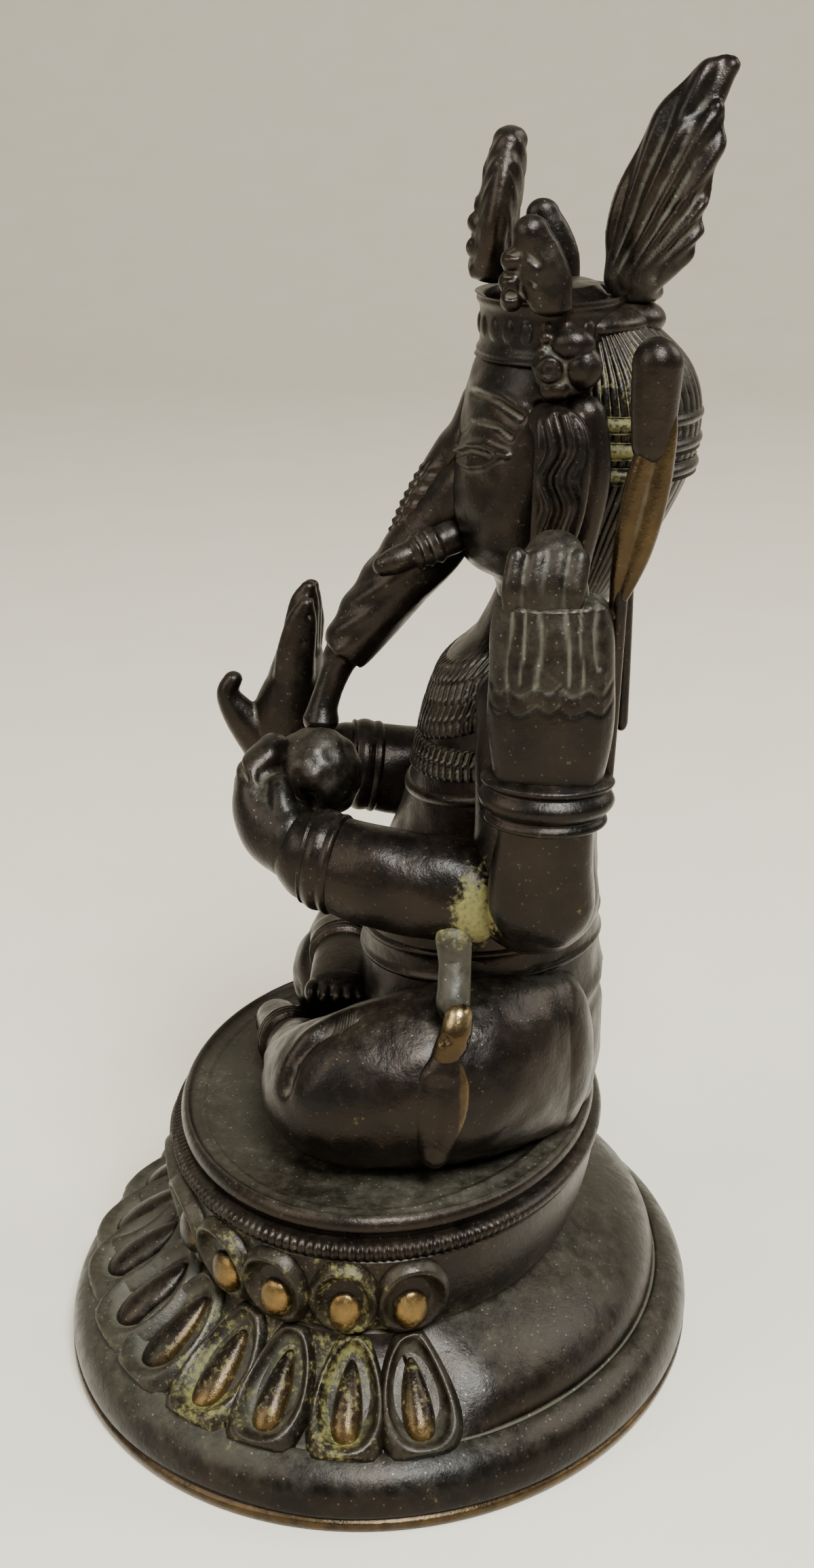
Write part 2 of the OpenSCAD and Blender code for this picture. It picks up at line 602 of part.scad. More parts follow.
base_plate();
lotus_foot();
foot_petals();
seat_drum();
drum_petals();
bead_rim();
seat_deck();
figure_rivets();
torso();
neck_pin();
left_leg();
right_leg();
left_foot();
right_foot();
left_anklet();
right_anklet();
belt();
chest_band();
necklace();
upper_arm(false);  // left_upper_arm
upper_arm(true);  // right_upper_arm
front_forearm(false);  // left_front_forearm
front_forearm(true);  // right_front_forearm
left_front_hand();
right_front_hand();
bracelet(false);  // left_bracelet
bracelet(true);  // right_bracelet
rear_forearm(false);  // left_rear_forearm
rear_forearm(true);  // right_rear_forearm
rear_hand(false);  // left_rear_hand
rear_hand(true);  // right_rear_hand
armlet(false);  // left_armlet
armlet(true);  // right_armlet
axe();
goad();
sweet_ball();
head();
trunk();
tusk(false);  // left_tusk
tusk(true);  // right_tusk
ear(false);  // left_ear
ear(true);  // right_ear
brow_ornament();
crown_band();
front_crown_leaf();
side_crown_leaf(false);  // left_crown_leaf
side_crown_leaf(true);  // right_crown_leaf
rosette(false);  // left_rosette
rosette(true);  // right_rosette
hair_bun();
hair_ribbon();
crest();
crest_peg();
scarf(false);  // left_scarf
scarf(true);  // right_scarf
scarf_knot(false);  // left_scarf_knot
scarf_knot(true);  // right_scarf_knot
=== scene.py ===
# %% [markdown]
# # A seated four-armed, elephant-headed deity in old brass
# The real object is a small household shrine figure, cast in brass by the lost-wax way and rubbed and
# smoked dark over many years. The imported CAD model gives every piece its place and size. This script
# gives each piece its modelled surface and its finish. A sculpting brush could do that too, but
# formulas on grids can be read, changed and run again, so each piece is worked out with numpy.

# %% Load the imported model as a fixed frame
import math
import bpy
import numpy as np
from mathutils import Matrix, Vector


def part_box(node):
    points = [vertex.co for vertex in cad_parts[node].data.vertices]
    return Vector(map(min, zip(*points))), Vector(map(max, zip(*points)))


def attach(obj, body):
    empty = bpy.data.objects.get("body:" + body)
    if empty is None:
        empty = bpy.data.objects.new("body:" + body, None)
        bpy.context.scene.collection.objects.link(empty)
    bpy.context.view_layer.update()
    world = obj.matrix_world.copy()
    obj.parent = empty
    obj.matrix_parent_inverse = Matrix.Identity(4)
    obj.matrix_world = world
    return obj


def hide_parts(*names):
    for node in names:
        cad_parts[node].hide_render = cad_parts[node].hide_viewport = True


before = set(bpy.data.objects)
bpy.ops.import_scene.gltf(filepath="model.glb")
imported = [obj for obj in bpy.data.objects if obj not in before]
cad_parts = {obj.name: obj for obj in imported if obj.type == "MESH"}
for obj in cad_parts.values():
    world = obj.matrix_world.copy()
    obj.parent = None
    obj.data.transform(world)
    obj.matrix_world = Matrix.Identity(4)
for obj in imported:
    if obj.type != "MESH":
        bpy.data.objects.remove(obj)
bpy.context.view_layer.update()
print("pieces in the packed model:", len(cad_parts))

# %% [markdown]
# Two sets of millimetres are used. The base is drawn from the floor up. The figure is drawn from the
# deck up, in the size it was first set out at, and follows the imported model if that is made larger.

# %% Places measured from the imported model
MM = 0.001
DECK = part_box("seat_deck")[1].z
DRAWN_HIGH = 0.13993
FIG = (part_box("crest")[1].z - DECK) / DRAWN_HIGH


def from_deck(points):
    """Figure millimetres to metres: scaled with the figure, then raised by the height of the deck."""
    return points * (MM * FIG) + np.array([0, 0, DECK])


def from_floor(points):
    """Base millimetres to metres."""
    return points * MM


def half_sizes(node):
    """Half the width and half the depth of a CAD node, in millimetres."""
    low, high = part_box(node)
    return (high.x - low.x) / 2 / MM, (high.y - low.y) / 2 / MM


print("deck at", round(DECK / MM, 2), "mm, figure scale", round(FIG, 4))

# %% [markdown]
# The camera, the floor and the light come first, so that every piece can be looked at as it is made.
# The camera stands level with the figure's shoulder on its left side and looks a little down.

# %% Camera
TARGET = np.array([0.0, 0.0038, 0.0803])
SENSOR = 36                   # the frame's long side, in millimetres
LENS_SHARE = 3300 / 2312      # focal length over the long side of the frame


def aim(made, azimuth, elevation, distance):
    """Stands a camera or a lamp round from the figure's front and above it, facing its middle."""
    a, e = math.radians(azimuth), math.radians(elevation)
    out = np.array([math.sin(a) * math.cos(e), -math.cos(a) * math.cos(e), math.sin(e)])
    made.location = TARGET + distance * out
    made.rotation_mode = "QUATERNION"
    made.rotation_quaternion = Vector(-out).to_track_quat("-Z", "Y")
    bpy.context.scene.collection.objects.link(made)


camera = bpy.data.objects.new("camera", bpy.data.cameras.new("camera"))
aim(camera, 96.0, 18.5, 0.3067)
camera.data.sensor_width = SENSOR
camera.data.lens = LENS_SHARE * SENSOR
camera.data.clip_start, camera.data.clip_end = 0.01, 20
bpy.context.scene.camera = camera


# %% Lights and world
def lamp(name, azimuth, elevation, distance, size, power, colour):
    """A square soft box aimed at the middle of the figure."""
    data = bpy.data.lights.new(name, "AREA")
    data.shape, data.size, data.energy, data.color = "SQUARE", size, power, colour
    aim(bpy.data.objects.new(name, data), azimuth, elevation, distance)


lamp("window", 112, 50, 0.9, 0.34, 21, (0.9, 0.95, 1.0))
lamp("front_fill", 34, 30, 1.1, 0.7, 8, (1.0, 0.95, 0.86))
lamp("back_edge", 200, 35, 1.0, 0.5, 6, (1.0, 0.97, 0.92))
world = bpy.data.worlds.new("room")
bpy.context.scene.world = world
world.use_nodes = True
background = world.node_tree.nodes["Background"].inputs
background["Color"].default_value = (0.93, 0.9, 0.82, 1)
background["Strength"].default_value = 0.48


# %% Small helpers for materials
def linear(colour):
    """An sRGB hex colour as the linear values that a shader wants."""
    srgb = np.array([int(colour[i:i + 2], 16) / 255 for i in (1, 3, 5)])
    return [*np.where(srgb <= 0.04045, srgb / 12.92, ((srgb + 0.055) / 1.055) ** 2.4), 1.0]


def add(tree, kind, inputs=None, **settings):
    """Adds a node, sets it up, and joins or sets each of its inputs."""
    made = tree.nodes.new(kind)
    for key, value in settings.items():
        setattr(made, key, value)
    for key, value in (inputs or {}).items():
        if isinstance(value, bpy.types.NodeSocket):
            tree.links.new(value, made.inputs[key])
        else:
            made.inputs[key].default_value = value
    return made


# %% [markdown]
# The floor is plain and pale, like a sheet of studio paper that curves up behind the figure.

# %% Floor
paper = bpy.data.materials.new("pale_paper")
paper.use_nodes = True
tree = paper.node_tree
where = add(tree, "ShaderNodeTexCoord").outputs["Object"]
pulp = add(tree, "ShaderNodeTexNoise", {"Vector": where, "Scale": 40.0, "Detail": 4.0})
tone = add(tree, "ShaderNodeMix", {0: pulp.outputs["Fac"], 6: linear("#d9d0bb"), 7: linear("#e0d8c6")},
           data_type="RGBA")
tree.links.new(tone.outputs[2], tree.nodes["Principled BSDF"].inputs["Base Color"])
tree.nodes["Principled BSDF"].inputs["Roughness"].default_value = 0.9
NEAR_EDGE, BEND_START, BEND_RADIUS, TOP_EDGE, HALF_WIDE = 2.4, -0.9, 0.7, 2.6, 2.6    # in metres
bend = np.linspace(0, np.pi / 2, 25)
sweep_x = np.concatenate([[NEAR_EDGE], BEND_START - BEND_RADIUS * np.sin(bend), [BEND_START - BEND_RADIUS]])
sweep_z = np.concatenate([[0.0], BEND_RADIUS - BEND_RADIUS * np.cos(bend), [TOP_EDGE]])
floor_points = np.stack([np.tile(sweep_x, 2), np.repeat([-HALF_WIDE, HALF_WIDE], len(sweep_x)),
                         np.tile(sweep_z, 2)], 1)
j = np.arange(len(sweep_x) - 1)
floor_faces = np.stack([j, j + 1, j + 1 + len(sweep_x), j + len(sweep_x)], 1)
floor_mesh = bpy.data.meshes.new("floor")
floor_mesh.from_pydata(floor_points.tolist(), [], floor_faces.tolist())
floor_mesh.polygons.foreach_set("use_smooth", [True] * len(floor_faces))
floor_mesh.materials.append(paper)
floor = bpy.data.objects.new("floor", floor_mesh)
bpy.context.scene.collection.objects.link(floor)

# %% [markdown]
# ## Old brass
# Cast brass goes brown and then almost black as oil, smoke and hands work on it. The high places are
# rubbed back to a warm gold, grey dust packs into the hollows, and turmeric paste from worship dries
# yellow-green. All four finishes share one recipe. Three marks are worked out for each point of a
# surface and kept with it: red for rubbed edges, green for dust in hollows, blue for paste.

# %% The recipe for old brass
GRAIN = 0.0007      # the skin of a lost-wax casting is rough at about 0.7 mm
CLOUD = 0.011       # patches of brown and black are about a centimetre across
SPECK = 0.00055     # grains of dust; the real ones are finer, and are drawn as large as shows


def old_brass(name, dark, brown, metal, rubbed, dusty, rough, metal_share):
    """Patina over brass. rubbed and dusty raise or lower how much metal and dust show."""
    made = bpy.data.materials.new(name)
    made.use_nodes = True
    tree = made.node_tree
    shader = tree.nodes["Principled BSDF"]
    where = add(tree, "ShaderNodeTexCoord").outputs["Object"]
    marks = add(tree, "ShaderNodeSeparateColor",
                {0: add(tree, "ShaderNodeAttribute", attribute_name="marks").outputs["Color"]})
    cloud = add(tree, "ShaderNodeTexNoise", {"Vector": where, "Scale": 1 / CLOUD, "Detail": 5.0,
                                             "Roughness": 0.62}).outputs["Fac"]
    grain = add(tree, "ShaderNodeTexNoise", {"Vector": where, "Scale": 1 / GRAIN, "Detail": 5.0,
                                             "Roughness": 0.6}).outputs["Fac"]
    patch = add(tree, "ShaderNodeTexNoise", {"Vector": where, "Scale": 4 / CLOUD, "Detail": 6.0,
                                             "Roughness": 0.7}).outputs["Fac"]
    speck = add(tree, "ShaderNodeTexVoronoi", {"Vector": where, "Scale": 0.5 / SPECK}).outputs["Distance"]

    def mask(noise, mark, share, bias, low, high):
        """A mark broken up by noise, then given a soft threshold."""
        broken = add(tree, "ShaderNodeMath", {0: noise, 1: share, 2: mark}, operation="MULTIPLY_ADD")
        return add(tree, "ShaderNodeMapRange", {"Value": broken.outputs[0], "From Min": low - bias,
                                                "From Max": high - bias},
                   interpolation_type="SMOOTHSTEP").outputs["Result"]

    wear = mask(patch, marks.outputs["Red"], 0.6, rubbed, 0.75, 1.4)
    dust = mask(patch, marks.outputs["Green"], 0.6, dusty, 0.4, 1.2)
    flecks = add(tree, "ShaderNodeMath", {0: grain, 1: patch}, operation="ADD").outputs[0]
    paste = mask(flecks, marks.outputs["Blue"], 1.6, 0.0, 1.9, 2.5)
    grit = add(tree, "ShaderNodeMapRange", {"Value": speck, "From Min": 0.16,
                                            "From Max": 0.05}).outputs["Result"]
    deep = add(tree, "ShaderNodeMapRange", {"Value": cloud, "From Min": 0.35,
                                            "From Max": 0.68}).outputs["Result"]

    metal_tone, ash, dried = (
        add(tree, "ShaderNodeMix", {0: grain, 6: linear(low), 7: linear(high)}, data_type="RGBA").outputs[2]
        for low, high in ((metal, "#5e4a2e"), ("#302f25", "#56533f"), ("#3a391e", "#716a33")))
    thin = add(tree, "ShaderNodeMath", {0: dust, 1: 0.75}, operation="MULTIPLY").outputs[0]
    some = add(tree, "ShaderNodeMath", {0: marks.outputs["Green"], 1: 0.9, 2: 0.12},
               operation="MULTIPLY_ADD").outputs[0]
    for share in (some, patch):
        grit = add(tree, "ShaderNodeMath", {0: grit, 1: share}, operation="MULTIPLY").outputs[0]
    skin = linear(dark)
    for share, above in ((deep, linear(brown)), (wear, metal_tone), (thin, ash), (grit, linear("#a5a293")),
                         (paste, dried)):
        skin = add(tree, "ShaderNodeMix", {0: share, 6: skin, 7: above}, data_type="RGBA").outputs[2]
    tree.links.new(skin, shader.inputs["Base Color"])
    cover = add(tree, "ShaderNodeMath", {0: dust, 1: paste}, operation="MAXIMUM").outputs[0]
    bare = add(tree, "ShaderNodeMapRange", {"Value": wear, "To Min": metal_share,
                                            "To Max": 1.0}).outputs["Result"]
    left = add(tree, "ShaderNodeMath", {0: 1.0, 1: cover}, operation="SUBTRACT").outputs[0]
    shine = add(tree, "ShaderNodeMath", {0: bare, 1: left}, operation="MULTIPLY").outputs[0]
    tree.links.new(shine, shader.inputs["Metallic"])
    gloss = add(tree, "ShaderNodeMapRange", {"Value": patch, "From Min": 0.3, "From Max": 0.75,
                                             "To Min": rough - 0.07,
                                             "To Max": rough + 0.12}).outputs["Result"]
    gloss = add(tree, "ShaderNodeMath", {0: cover, 1: 0.5, 2: gloss}, operation="MULTIPLY_ADD",
                use_clamp=True).outputs[0]
    tree.links.new(gloss, shader.inputs["Roughness"])
    height = add(tree, "ShaderNodeMath", {0: patch, 1: 2.0, 2: grain}, operation="MULTIPLY_ADD").outputs[0]
    bump = add(tree, "ShaderNodeBump", {"Height": height, "Strength": 0.35, "Distance": 0.00016})
    tree.links.new(bump.outputs["Normal"], shader.inputs["Normal"])
    return made


FINISHES = {
    # Cast brass left to darken: near black, brown where it thins.
    "dark_brass": old_brass("patinated_cast_brass", "#13100c", "#251c14", "#6e5836", 0.0, 0.0, 0.3, 0.78),
    # Cast brass on raised work, which hands rub: gold shows through on the edges.
    "worn_brass": old_brass("hand_rubbed_brass", "#17130e", "#2c2218", "#8f7446", 0.04, 0.0, 0.28, 0.8),
    # Turned or filed brass, the brightest metal on the piece.
    "bright_brass": old_brass("polished_brass", "#2a2115", "#463823", "#ab9870", 0.04, -0.05, 0.22, 0.9),
    # Copper sheet that closes the underside.
    "copper": old_brass("old_copper_sheet", "#3b1f14", "#63382a", "#a5694b", 0.05, 0.0, 0.42, 0.85),
}
print("finishes:", ", ".join(m.name for m in FINISHES.values()))
for node_name, cad_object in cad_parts.items():
    cad_slot = {"figure_rivets": "bright_brass", "neck_pin": "bright_brass", "crest_peg": "bright_brass",
                "base_plate": "copper"}.get(node_name, "dark_brass")
    cad_object.data.materials.clear()
    cad_object.data.materials.append(FINISHES[cad_slot])

# %% [markdown]
# ## How a surface is made
# Every piece is one or more closed sheets. A sheet is a grid of rings: each ring runs once round the
# piece, and the rings follow each other from end to end. Two kinds are enough for almost everything:
# an oval stack, for the body and the base, and a limb, which is an egg that moves and swells along a
# path. Where fingers or petals have to melt into each other, the sheets are fused on a fine lattice.

# %% Rings, stacks and limbs
def smooth(rows, count):
    """Rows to many rows: each column follows a cubic curve that goes through every given value."""
    rows = np.asarray(rows, float)
    padded = np.vstack([rows[:1], rows, rows[-1:]])
    t = np.linspace(0, len(rows) - 1, count)
    i = np.minimum(t.astype(int), len(rows) - 2)
    t = (t - i)[:, None]
    a, b, c, d = (padded[i + k] for k in range(4))
    return 0.5 * (2 * b + (c - a) * t + (2 * a - 5 * b + 4 * c - d) * t ** 2 + (3 * b - a - 3 * c + d)
                  * t ** 3)


def circle(count):
    """Angles once round, without the last one."""
    return np.arange(count) * (2 * np.pi / count)


def stack(rows, along=160, around=200, relief=None):
    """Ovals on top of each other: x = half width times cosine, y = back + half depth times sine."""
    r = smooth(rows, along)
    a = circle(around)[None, :]
    extra = relief(np.linspace(0, 1, along)[:, None], a) if relief else 0
    return np.stack([(r[:, :1] + extra) * np.cos(a), r[:, 2:3] + (r[:, 1:2] + extra) * np.sin(a),
                     np.broadcast_to(r[:, 3:4], (along, around))], -1)


def limb(rows, along=90, around=64, cap=12, relief=None, face=(0, -1, 0)):
    """An egg carried along a path: the point with outward direction n is the middle plus h*h*n over the
    length of h*n, where h holds the egg's three half sizes. n turns round the path, and over both ends."""
    r = smooth(rows, along)
    middle, half = r[:, :3], r[:, 3:]
    way = np.gradient(middle, axis=0)
    way /= np.linalg.norm(way, axis=1)[:, None]
    side = np.cross(way, np.asarray(face, float))
    side /= np.linalg.norm(side, axis=1)[:, None]
    front = np.cross(side, way)
    a = circle(around)[None, :, None]
    n = np.cos(a) * side[:, None, :] + np.sin(a) * front[:, None, :]
    tilt = np.linspace(0, np.pi / 2, cap + 2)[1:-1, None, None]
    first = np.cos(tilt[::-1]) * n[:1] - np.sin(tilt[::-1]) * way[0]
    last = np.cos(tilt) * n[-1:] + np.sin(tilt) * way[-1]
    n = np.concatenate([first, n, last])
    keep = np.concatenate([np.zeros(cap, int), np.arange(along), np.full(cap, along - 1)])
    middle, half = middle[keep][:, None, :], half[keep][:, None, :]
    pushed = half * n
    points = middle + half * pushed / np.linalg.norm(pushed, axis=2)[:, :, None]
    if relief is not None:
        points = points + n * relief((keep / (along - 1))[:, None], circle(around)[None, :])[:, :, None]
    return points


def egg(x, y, z, a, b, c, along=24, around=32):
    """A closed egg: sine and cosine of two angles, stretched three ways."""
    v = np.linspace(0.06, np.pi - 0.06, along)[:, None]
    u = circle(around)[None, :]
    return np.stack([x + a * np.sin(v) * np.cos(u), y + b * np.sin(v) * np.sin(u),
                     z + c * np.cos(v) * np.ones_like(u)], -1)


def mirror(sheet):
    """The same sheet, or the same loop, on the other side of the figure."""
    return (mirror(sheet[0]), sheet[1]) if isinstance(sheet, tuple) else sheet * np.array([-1, 1, 1])


SIDES = (("left", lambda sheet: sheet), ("right", mirror))


# %% Sheets to meshes
def sheet_faces(rings, around, loop):
    """Quads between the rings; a loop joins its last ring to its first, anything else gets two poles."""
    i = np.arange(rings if loop else rings - 1)[:, None]
    j = np.arange(around)[None, :]
    k, m = (i + 1) % rings, (j + 1) % around
    quads = np.stack([i * around + j, i * around + m, k * around + m, k * around + j], -1).reshape(-1, 4)
    if loop:
        return quads, np.zeros((0, 3), int)
    j = np.arange(around)
    m = (j + 1) % around
    low, high, base = rings * around, rings * around + 1, (rings - 1) * around
    tris = np.concatenate([np.stack([np.full(around, low), m, j], -1),
                           np.stack([np.full(around, high), base + j, base + m], -1)])
    return quads, tris


def mesh_of(name, sheets, place):
    """One mesh of several closed sheets, each turned so that its faces point outwards."""
    points, quads, tris, start = [], [], [], 0
    for sheet in sheets:
        loop = isinstance(sheet, tuple)
        grid = sheet[0] if loop else sheet
        rings, around = grid.shape[:2]
        p = grid.reshape(-1, 3)
        if not loop:
            p = np.vstack([p, grid[0].mean(0), grid[-1].mean(0)])
        q, t = sheet_faces(rings, around, loop)
        corners = np.vstack([q[:, [0, 1, 2]], q[:, [0, 2, 3]], t])
        size = np.einsum("ij,ij->i", p[corners[:, 0]], np.cross(p[corners[:, 1]], p[corners[:, 2]])).sum()
        if size < 0:
            q, t = q[:, ::-1], t[:, ::-1]
        points.append(p)
        quads.append(q + start)
        tris.append(t + start)
        start += len(p)
    points, quads, tris = np.vstack(points), np.vstack(quads), np.vstack(tris)
    mesh = bpy.data.meshes.new(name)
    mesh.vertices.add(len(points))
    mesh.vertices.foreach_set("co", place(points).astype(np.float32).ravel())
    mesh.loops.add(quads.size + tris.size)
    mesh.loops.foreach_set("vertex_index", np.concatenate([quads.ravel(), tris.ravel()]).astype(np.int32))
    mesh.polygons.add(len(quads) + len(tris))
    starts = np.concatenate([np.arange(len(quads)) * 4, quads.size + np.arange(len(tris)) * 3])
    mesh.polygons.foreach_set("loop_start", starts.astype(np.int32))
    mesh.update(calc_edges=True)
    return mesh


# %% [markdown]
# A chisel line is cut or raised along a path of points: the height falls off with the distance from
# the line. Afterwards the surface is compared with a softened copy of itself. Where the copy lies
# above it there is a hollow, which holds dust, and where the copy lies below there is an edge, which
# hands have rubbed.

# %% Chasing lines, and the marks of wear and dust
def read_mesh(mesh):
    """Points, outward directions and edges of a mesh, as arrays."""
    points = np.empty(len(mesh.vertices) * 3, np.float32)
    mesh.vertices.foreach_get("co", points)
    normals = np.empty_like(points)
    mesh.vertex_normals.foreach_get("vector", normals)
    edges = np.empty(len(mesh.edges) * 2, np.int32)
    mesh.edges.foreach_get("vertices", edges)
    return points.reshape(-1, 3).astype(float), normals.reshape(-1, 3).astype(float), edges.reshape(-1, 2)


def relax(points, edges, times, share=0.6):
    """Moves every point part of the way to the middle of its neighbours, several times over."""
    count = np.maximum(np.bincount(edges.ravel(), minlength=len(points)), 1)[:, None]
    a, b = edges[:, 0], edges[:, 1]
    for _ in range(times):
        total = np.stack([np.bincount(a, points[b, k], len(points))
                          + np.bincount(b, points[a, k], len(points))
                          for k in range(3)], 1)
        points = points + share * (total / count - points)
    return points


def away(points, line, fold=True):
    """Distance from each point to a line of straight pieces; fold treats both sides of the figure alike."""
    p = np.abs(points) * [1, 0, 0] + points * [0, 1, 1] if fold else points
    line = np.asarray(line, float)
    best = np.full(len(p), 1e9)
    for a, b in zip(line[:-1], line[1:]):
        t = np.clip((p - a) @ (b - a) / max((b - a) @ (b - a), 1e-9), 0, 1)
        best = np.minimum(best, ((p - a - t[:, None] * (b - a)) ** 2).sum(1))
    return np.sqrt(best)


def chase(points, line, width, height, fold=True):
    """A rounded line, raised if height is above nought: height times e to the minus square of distance
    over width."""
    return height * np.exp(-(away(points, line, fold) / width) ** 2)


def lines(points, *table, fold=True):
    """Several chased lines added up, each given as its path, its width and its height."""
    return sum(chase(points, path, width, height, fold) for path, width, height in table)


def lump(points, centre, radius, height, fold=True):
    """A soft swelling round one point, by the same law."""
    return chase(points, [centre, centre], radius, height, fold)


def marks_of(points, normals, edges):
    """Edge wear and hollows, from 0 to 1, at two sizes: a tool mark's and a fold's."""
    step = np.linalg.norm(points[edges[:, 0]] - points[edges[:, 1]], axis=1).mean()
    wear, hollow, soft, done = 0, 0, points, 0
    for radius, full, least in ((0.5, 0.13, 0.015), (1.6, 0.8, 0.12)):
        times = int(np.clip(2.2 * (radius / step) ** 2, 2, 60))
        soft = relax(soft, edges, times - done if times > done else 1)
        done = max(times, done)
        rise = ((soft - points) * normals).sum(1)
        wear = np.maximum(wear, np.clip((-rise - least) / full, 0, 1))
        hollow = np.maximum(hollow, np.clip((rise - least) / full, 0, 1))
    return wear, hollow


# %% One call makes a piece
made_pieces = []


def piece(name, slot, sheets, nodes, fuse=None, soften=0, carve=None, paint=None, place=from_deck,
          finish=None, settle=0.2, edge=0.42):
    """Sheets to a finished piece. fuse is the lattice in mm; carve gives the rise of each point along its
    outward direction; paint gives extra wear, dust and paste; settle is dust on what faces upward; edge is
    the wear of edges."""
    mesh = mesh_of(name, sheets, place)
    made = bpy.data.objects.new(name, mesh)
    bpy.context.scene.collection.objects.link(made)
    if fuse:
        lattice = made.modifiers.new("fuse", "REMESH")
        lattice.mode, lattice.voxel_size = "VOXEL", fuse * MM
        seen = made.evaluated_get(bpy.context.evaluated_depsgraph_get())
        made.data = bpy.data.meshes.new_from_object(seen)
        made.modifiers.clear()
        bpy.data.meshes.remove(mesh)
        mesh = made.data
        mesh.name = name
    points, normals, edges = read_mesh(mesh)
    origin = place(np.zeros((1, 3)))[0]
    unit = place(np.array([[1.0, 0, 0]]))[0][0]
    points = (points - origin) / unit
    if soften:
        points = relax(points, edges, soften)
    if carve:
        points = points + normals * carve(points, normals)[:, None]
    mesh.vertices.foreach_set("co", (points * unit + origin).astype(np.float32).ravel())
    mesh.update()
    points, normals, edges = read_mesh(mesh)
    points = (points - origin) / unit
    wear, hollow = marks_of(points, normals, edges)
    dust = 0.55 * hollow + settle * np.clip(normals[:, 2], 0, 1) ** 2
    marks = np.stack([edge * wear, dust, np.zeros_like(wear), np.ones_like(wear)], 1)
    if paint:
        marks[:, :3] += np.stack(np.broadcast_arrays(*paint(points, normals, hollow)), 1)
    layer = mesh.color_attributes.new("marks", "FLOAT_COLOR", "POINT")
    layer.data.foreach_set("color", np.clip(marks, 0, 1).astype(np.float32).ravel())
    mesh.polygons.foreach_set("use_smooth", np.ones(len(mesh.polygons), bool))
    mesh.materials.clear()
    mesh.materials.append(FINISHES[finish or slot])
    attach(made, "root")
    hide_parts(*nodes)
    made_pieces.append((name, len(points)))
    print(f"{name}: {len(points)} points")
    return made

# %% [markdown]
# ## The base
# The base is a double lotus: a round flange, a bell with a row of long petals, a waist, a drum with a
# row of round petals, a milled rim and the deck. Petals run round the front and sides only; the back
# is a plain swelling band. Turned on a lathe it would be a circle, so ovals
# are stacked instead, and the surface under the petals is a function of two numbers: the angle, and
# the share of the way up.

# %% Sizes of the base
FOOT_W, FOOT_D = half_sizes("lotus_foot")
RIM_W, RIM_D = half_sizes("bead_rim")
WAIST_W, WAIST_D = RIM_W - 3, RIM_D - 3
WAIST_Z, RIM_Z, DECK_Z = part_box("seat_drum")[0].z / MM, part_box("bead_rim")[0].z / MM, DECK / MM
FLANGE_Z = 0.46 * WAIST_Z
SEAT_Y = (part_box("seat_deck")[0].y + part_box("seat_deck")[1].y) / 2 / MM
GROOVE = 5.0                 # from the foot's outline in to the foot of the bell
PETAL_END = math.radians(106)


def from_front(a):
    """How far an angle is from the front of the figure, in radians."""
    return np.abs((a + np.pi / 2 + np.pi) % (2 * np.pi) - np.pi)


def ease(x, low, high):
    """Nought below low, one above high, and a smooth step between."""
    t = np.clip((x - low) / (high - low), 0, 1)
    return t * t * (3 - 2 * t)


def oval(out_w, out_d, z, a):
    """A point on an oval that stands back in proportion to its height."""
    return np.stack(np.broadcast_arrays(out_w * np.cos(a), out_d * np.sin(a) + SEAT_Y * z / DECK_Z, z), -1)


def bell(a, t):
    """Hollow-sided under the petals, swelling at the back: the run to the waist times a power of t."""
    plain = ease(from_front(a), PETAL_END - 0.06, PETAL_END + 0.3)
    out = (1 - plain) * np.maximum(1 - t, 0) ** 1.5 + plain * (1 - np.maximum(t, 0) ** 2.1)
    wave = 0.12 * np.sin(3 * a + 1) + 0.08 * np.sin(7 * a)
    return oval(WAIST_W + (FOOT_W - GROOVE - WAIST_W) * out + wave,
                WAIST_D + (FOOT_D - GROOVE - WAIST_D) * out + wave,
                FLANGE_Z + (WAIST_Z - FLANGE_Z) * t, a)


def drum(a, t):
    """Flares from the waist to the rim by a quarter wave."""
    out = 2.2 * np.sin(np.pi / 2 * t) - 0.5 * np.exp(-(t / 0.08) ** 2)
    return oval(WAIST_W + out, WAIST_D + out, WAIST_Z + (RIM_Z - WAIST_Z) * t, a)


# %% Foot, drum and deck
a = circle(420)[None, :]
flange = smooth([[6.4, 1.1], [4.6, 1.0], [4.4, 0.1], [1.4, 0.0], [0.4, 0.15], [0.05, 0.7], [0.0, 1.35],
                 [0.32, 1.75],
                 [0.42, 1.95], [0.12, 2.3], [0, 3.2], [0.1, 4.4], [0.5, 5.8], [1.3, 7.1], [2.4, 8.1],
                 [3.5, 8.75],
                 [4.3, 8.85], [4.75, 8.6]], 74)
hand = 0.14 * np.sin(5 * a + 0.4) + 0.1 * np.sin(9 * a + 2)
flange_part = oval(FOOT_W - flange[:, :1] - 0.03 + hand * (flange[:, 1:] > 2), FOOT_D - flange[:, :1] - 0.03,
                   flange[:, 1:] * FLANGE_Z / 9, a)
inner_part = oval(np.array([[8.0], [30.0]]), np.array([[6.0], [24.0]]), 1.1, a)
bell_part = bell(a, np.linspace(0, 1, 64)[:, None])
top_part = oval(np.array([[WAIST_W - 2], [12.0]]), np.array([[WAIST_D - 2], [8.0]]), WAIST_Z + 0.6, a)


def base_paint(points, normals, hollow):
    """Copper shows where the lip meets the shelf; grey dust lies on the flange and in the groove."""
    lip = 1.1 * ease(-points[:, 2], -2.1, -1.7)
    side = ease(points[:, 0], 10, 45) * ease(-points[:, 1], -30, -8)
    paste = 0.75 * side * (0.6 + hollow) * np.exp(-((points[:, 2] - 16.5) / 5) ** 2) * ease(-points[:, 1], -9,
        0)
    front = ease(-points[:, 1], -12, 22)
    flat = np.clip(normals[:, 2], 0, 1)
    wear = 0.62 * lip * ease(points[:, 0], -10, 30) + 0.05 * ease(points[:, 1], 10, 30)
    return wear, flat * (0.1 + 0.25 * front) + 0.1 + 0.3 * hollow - lip, paste


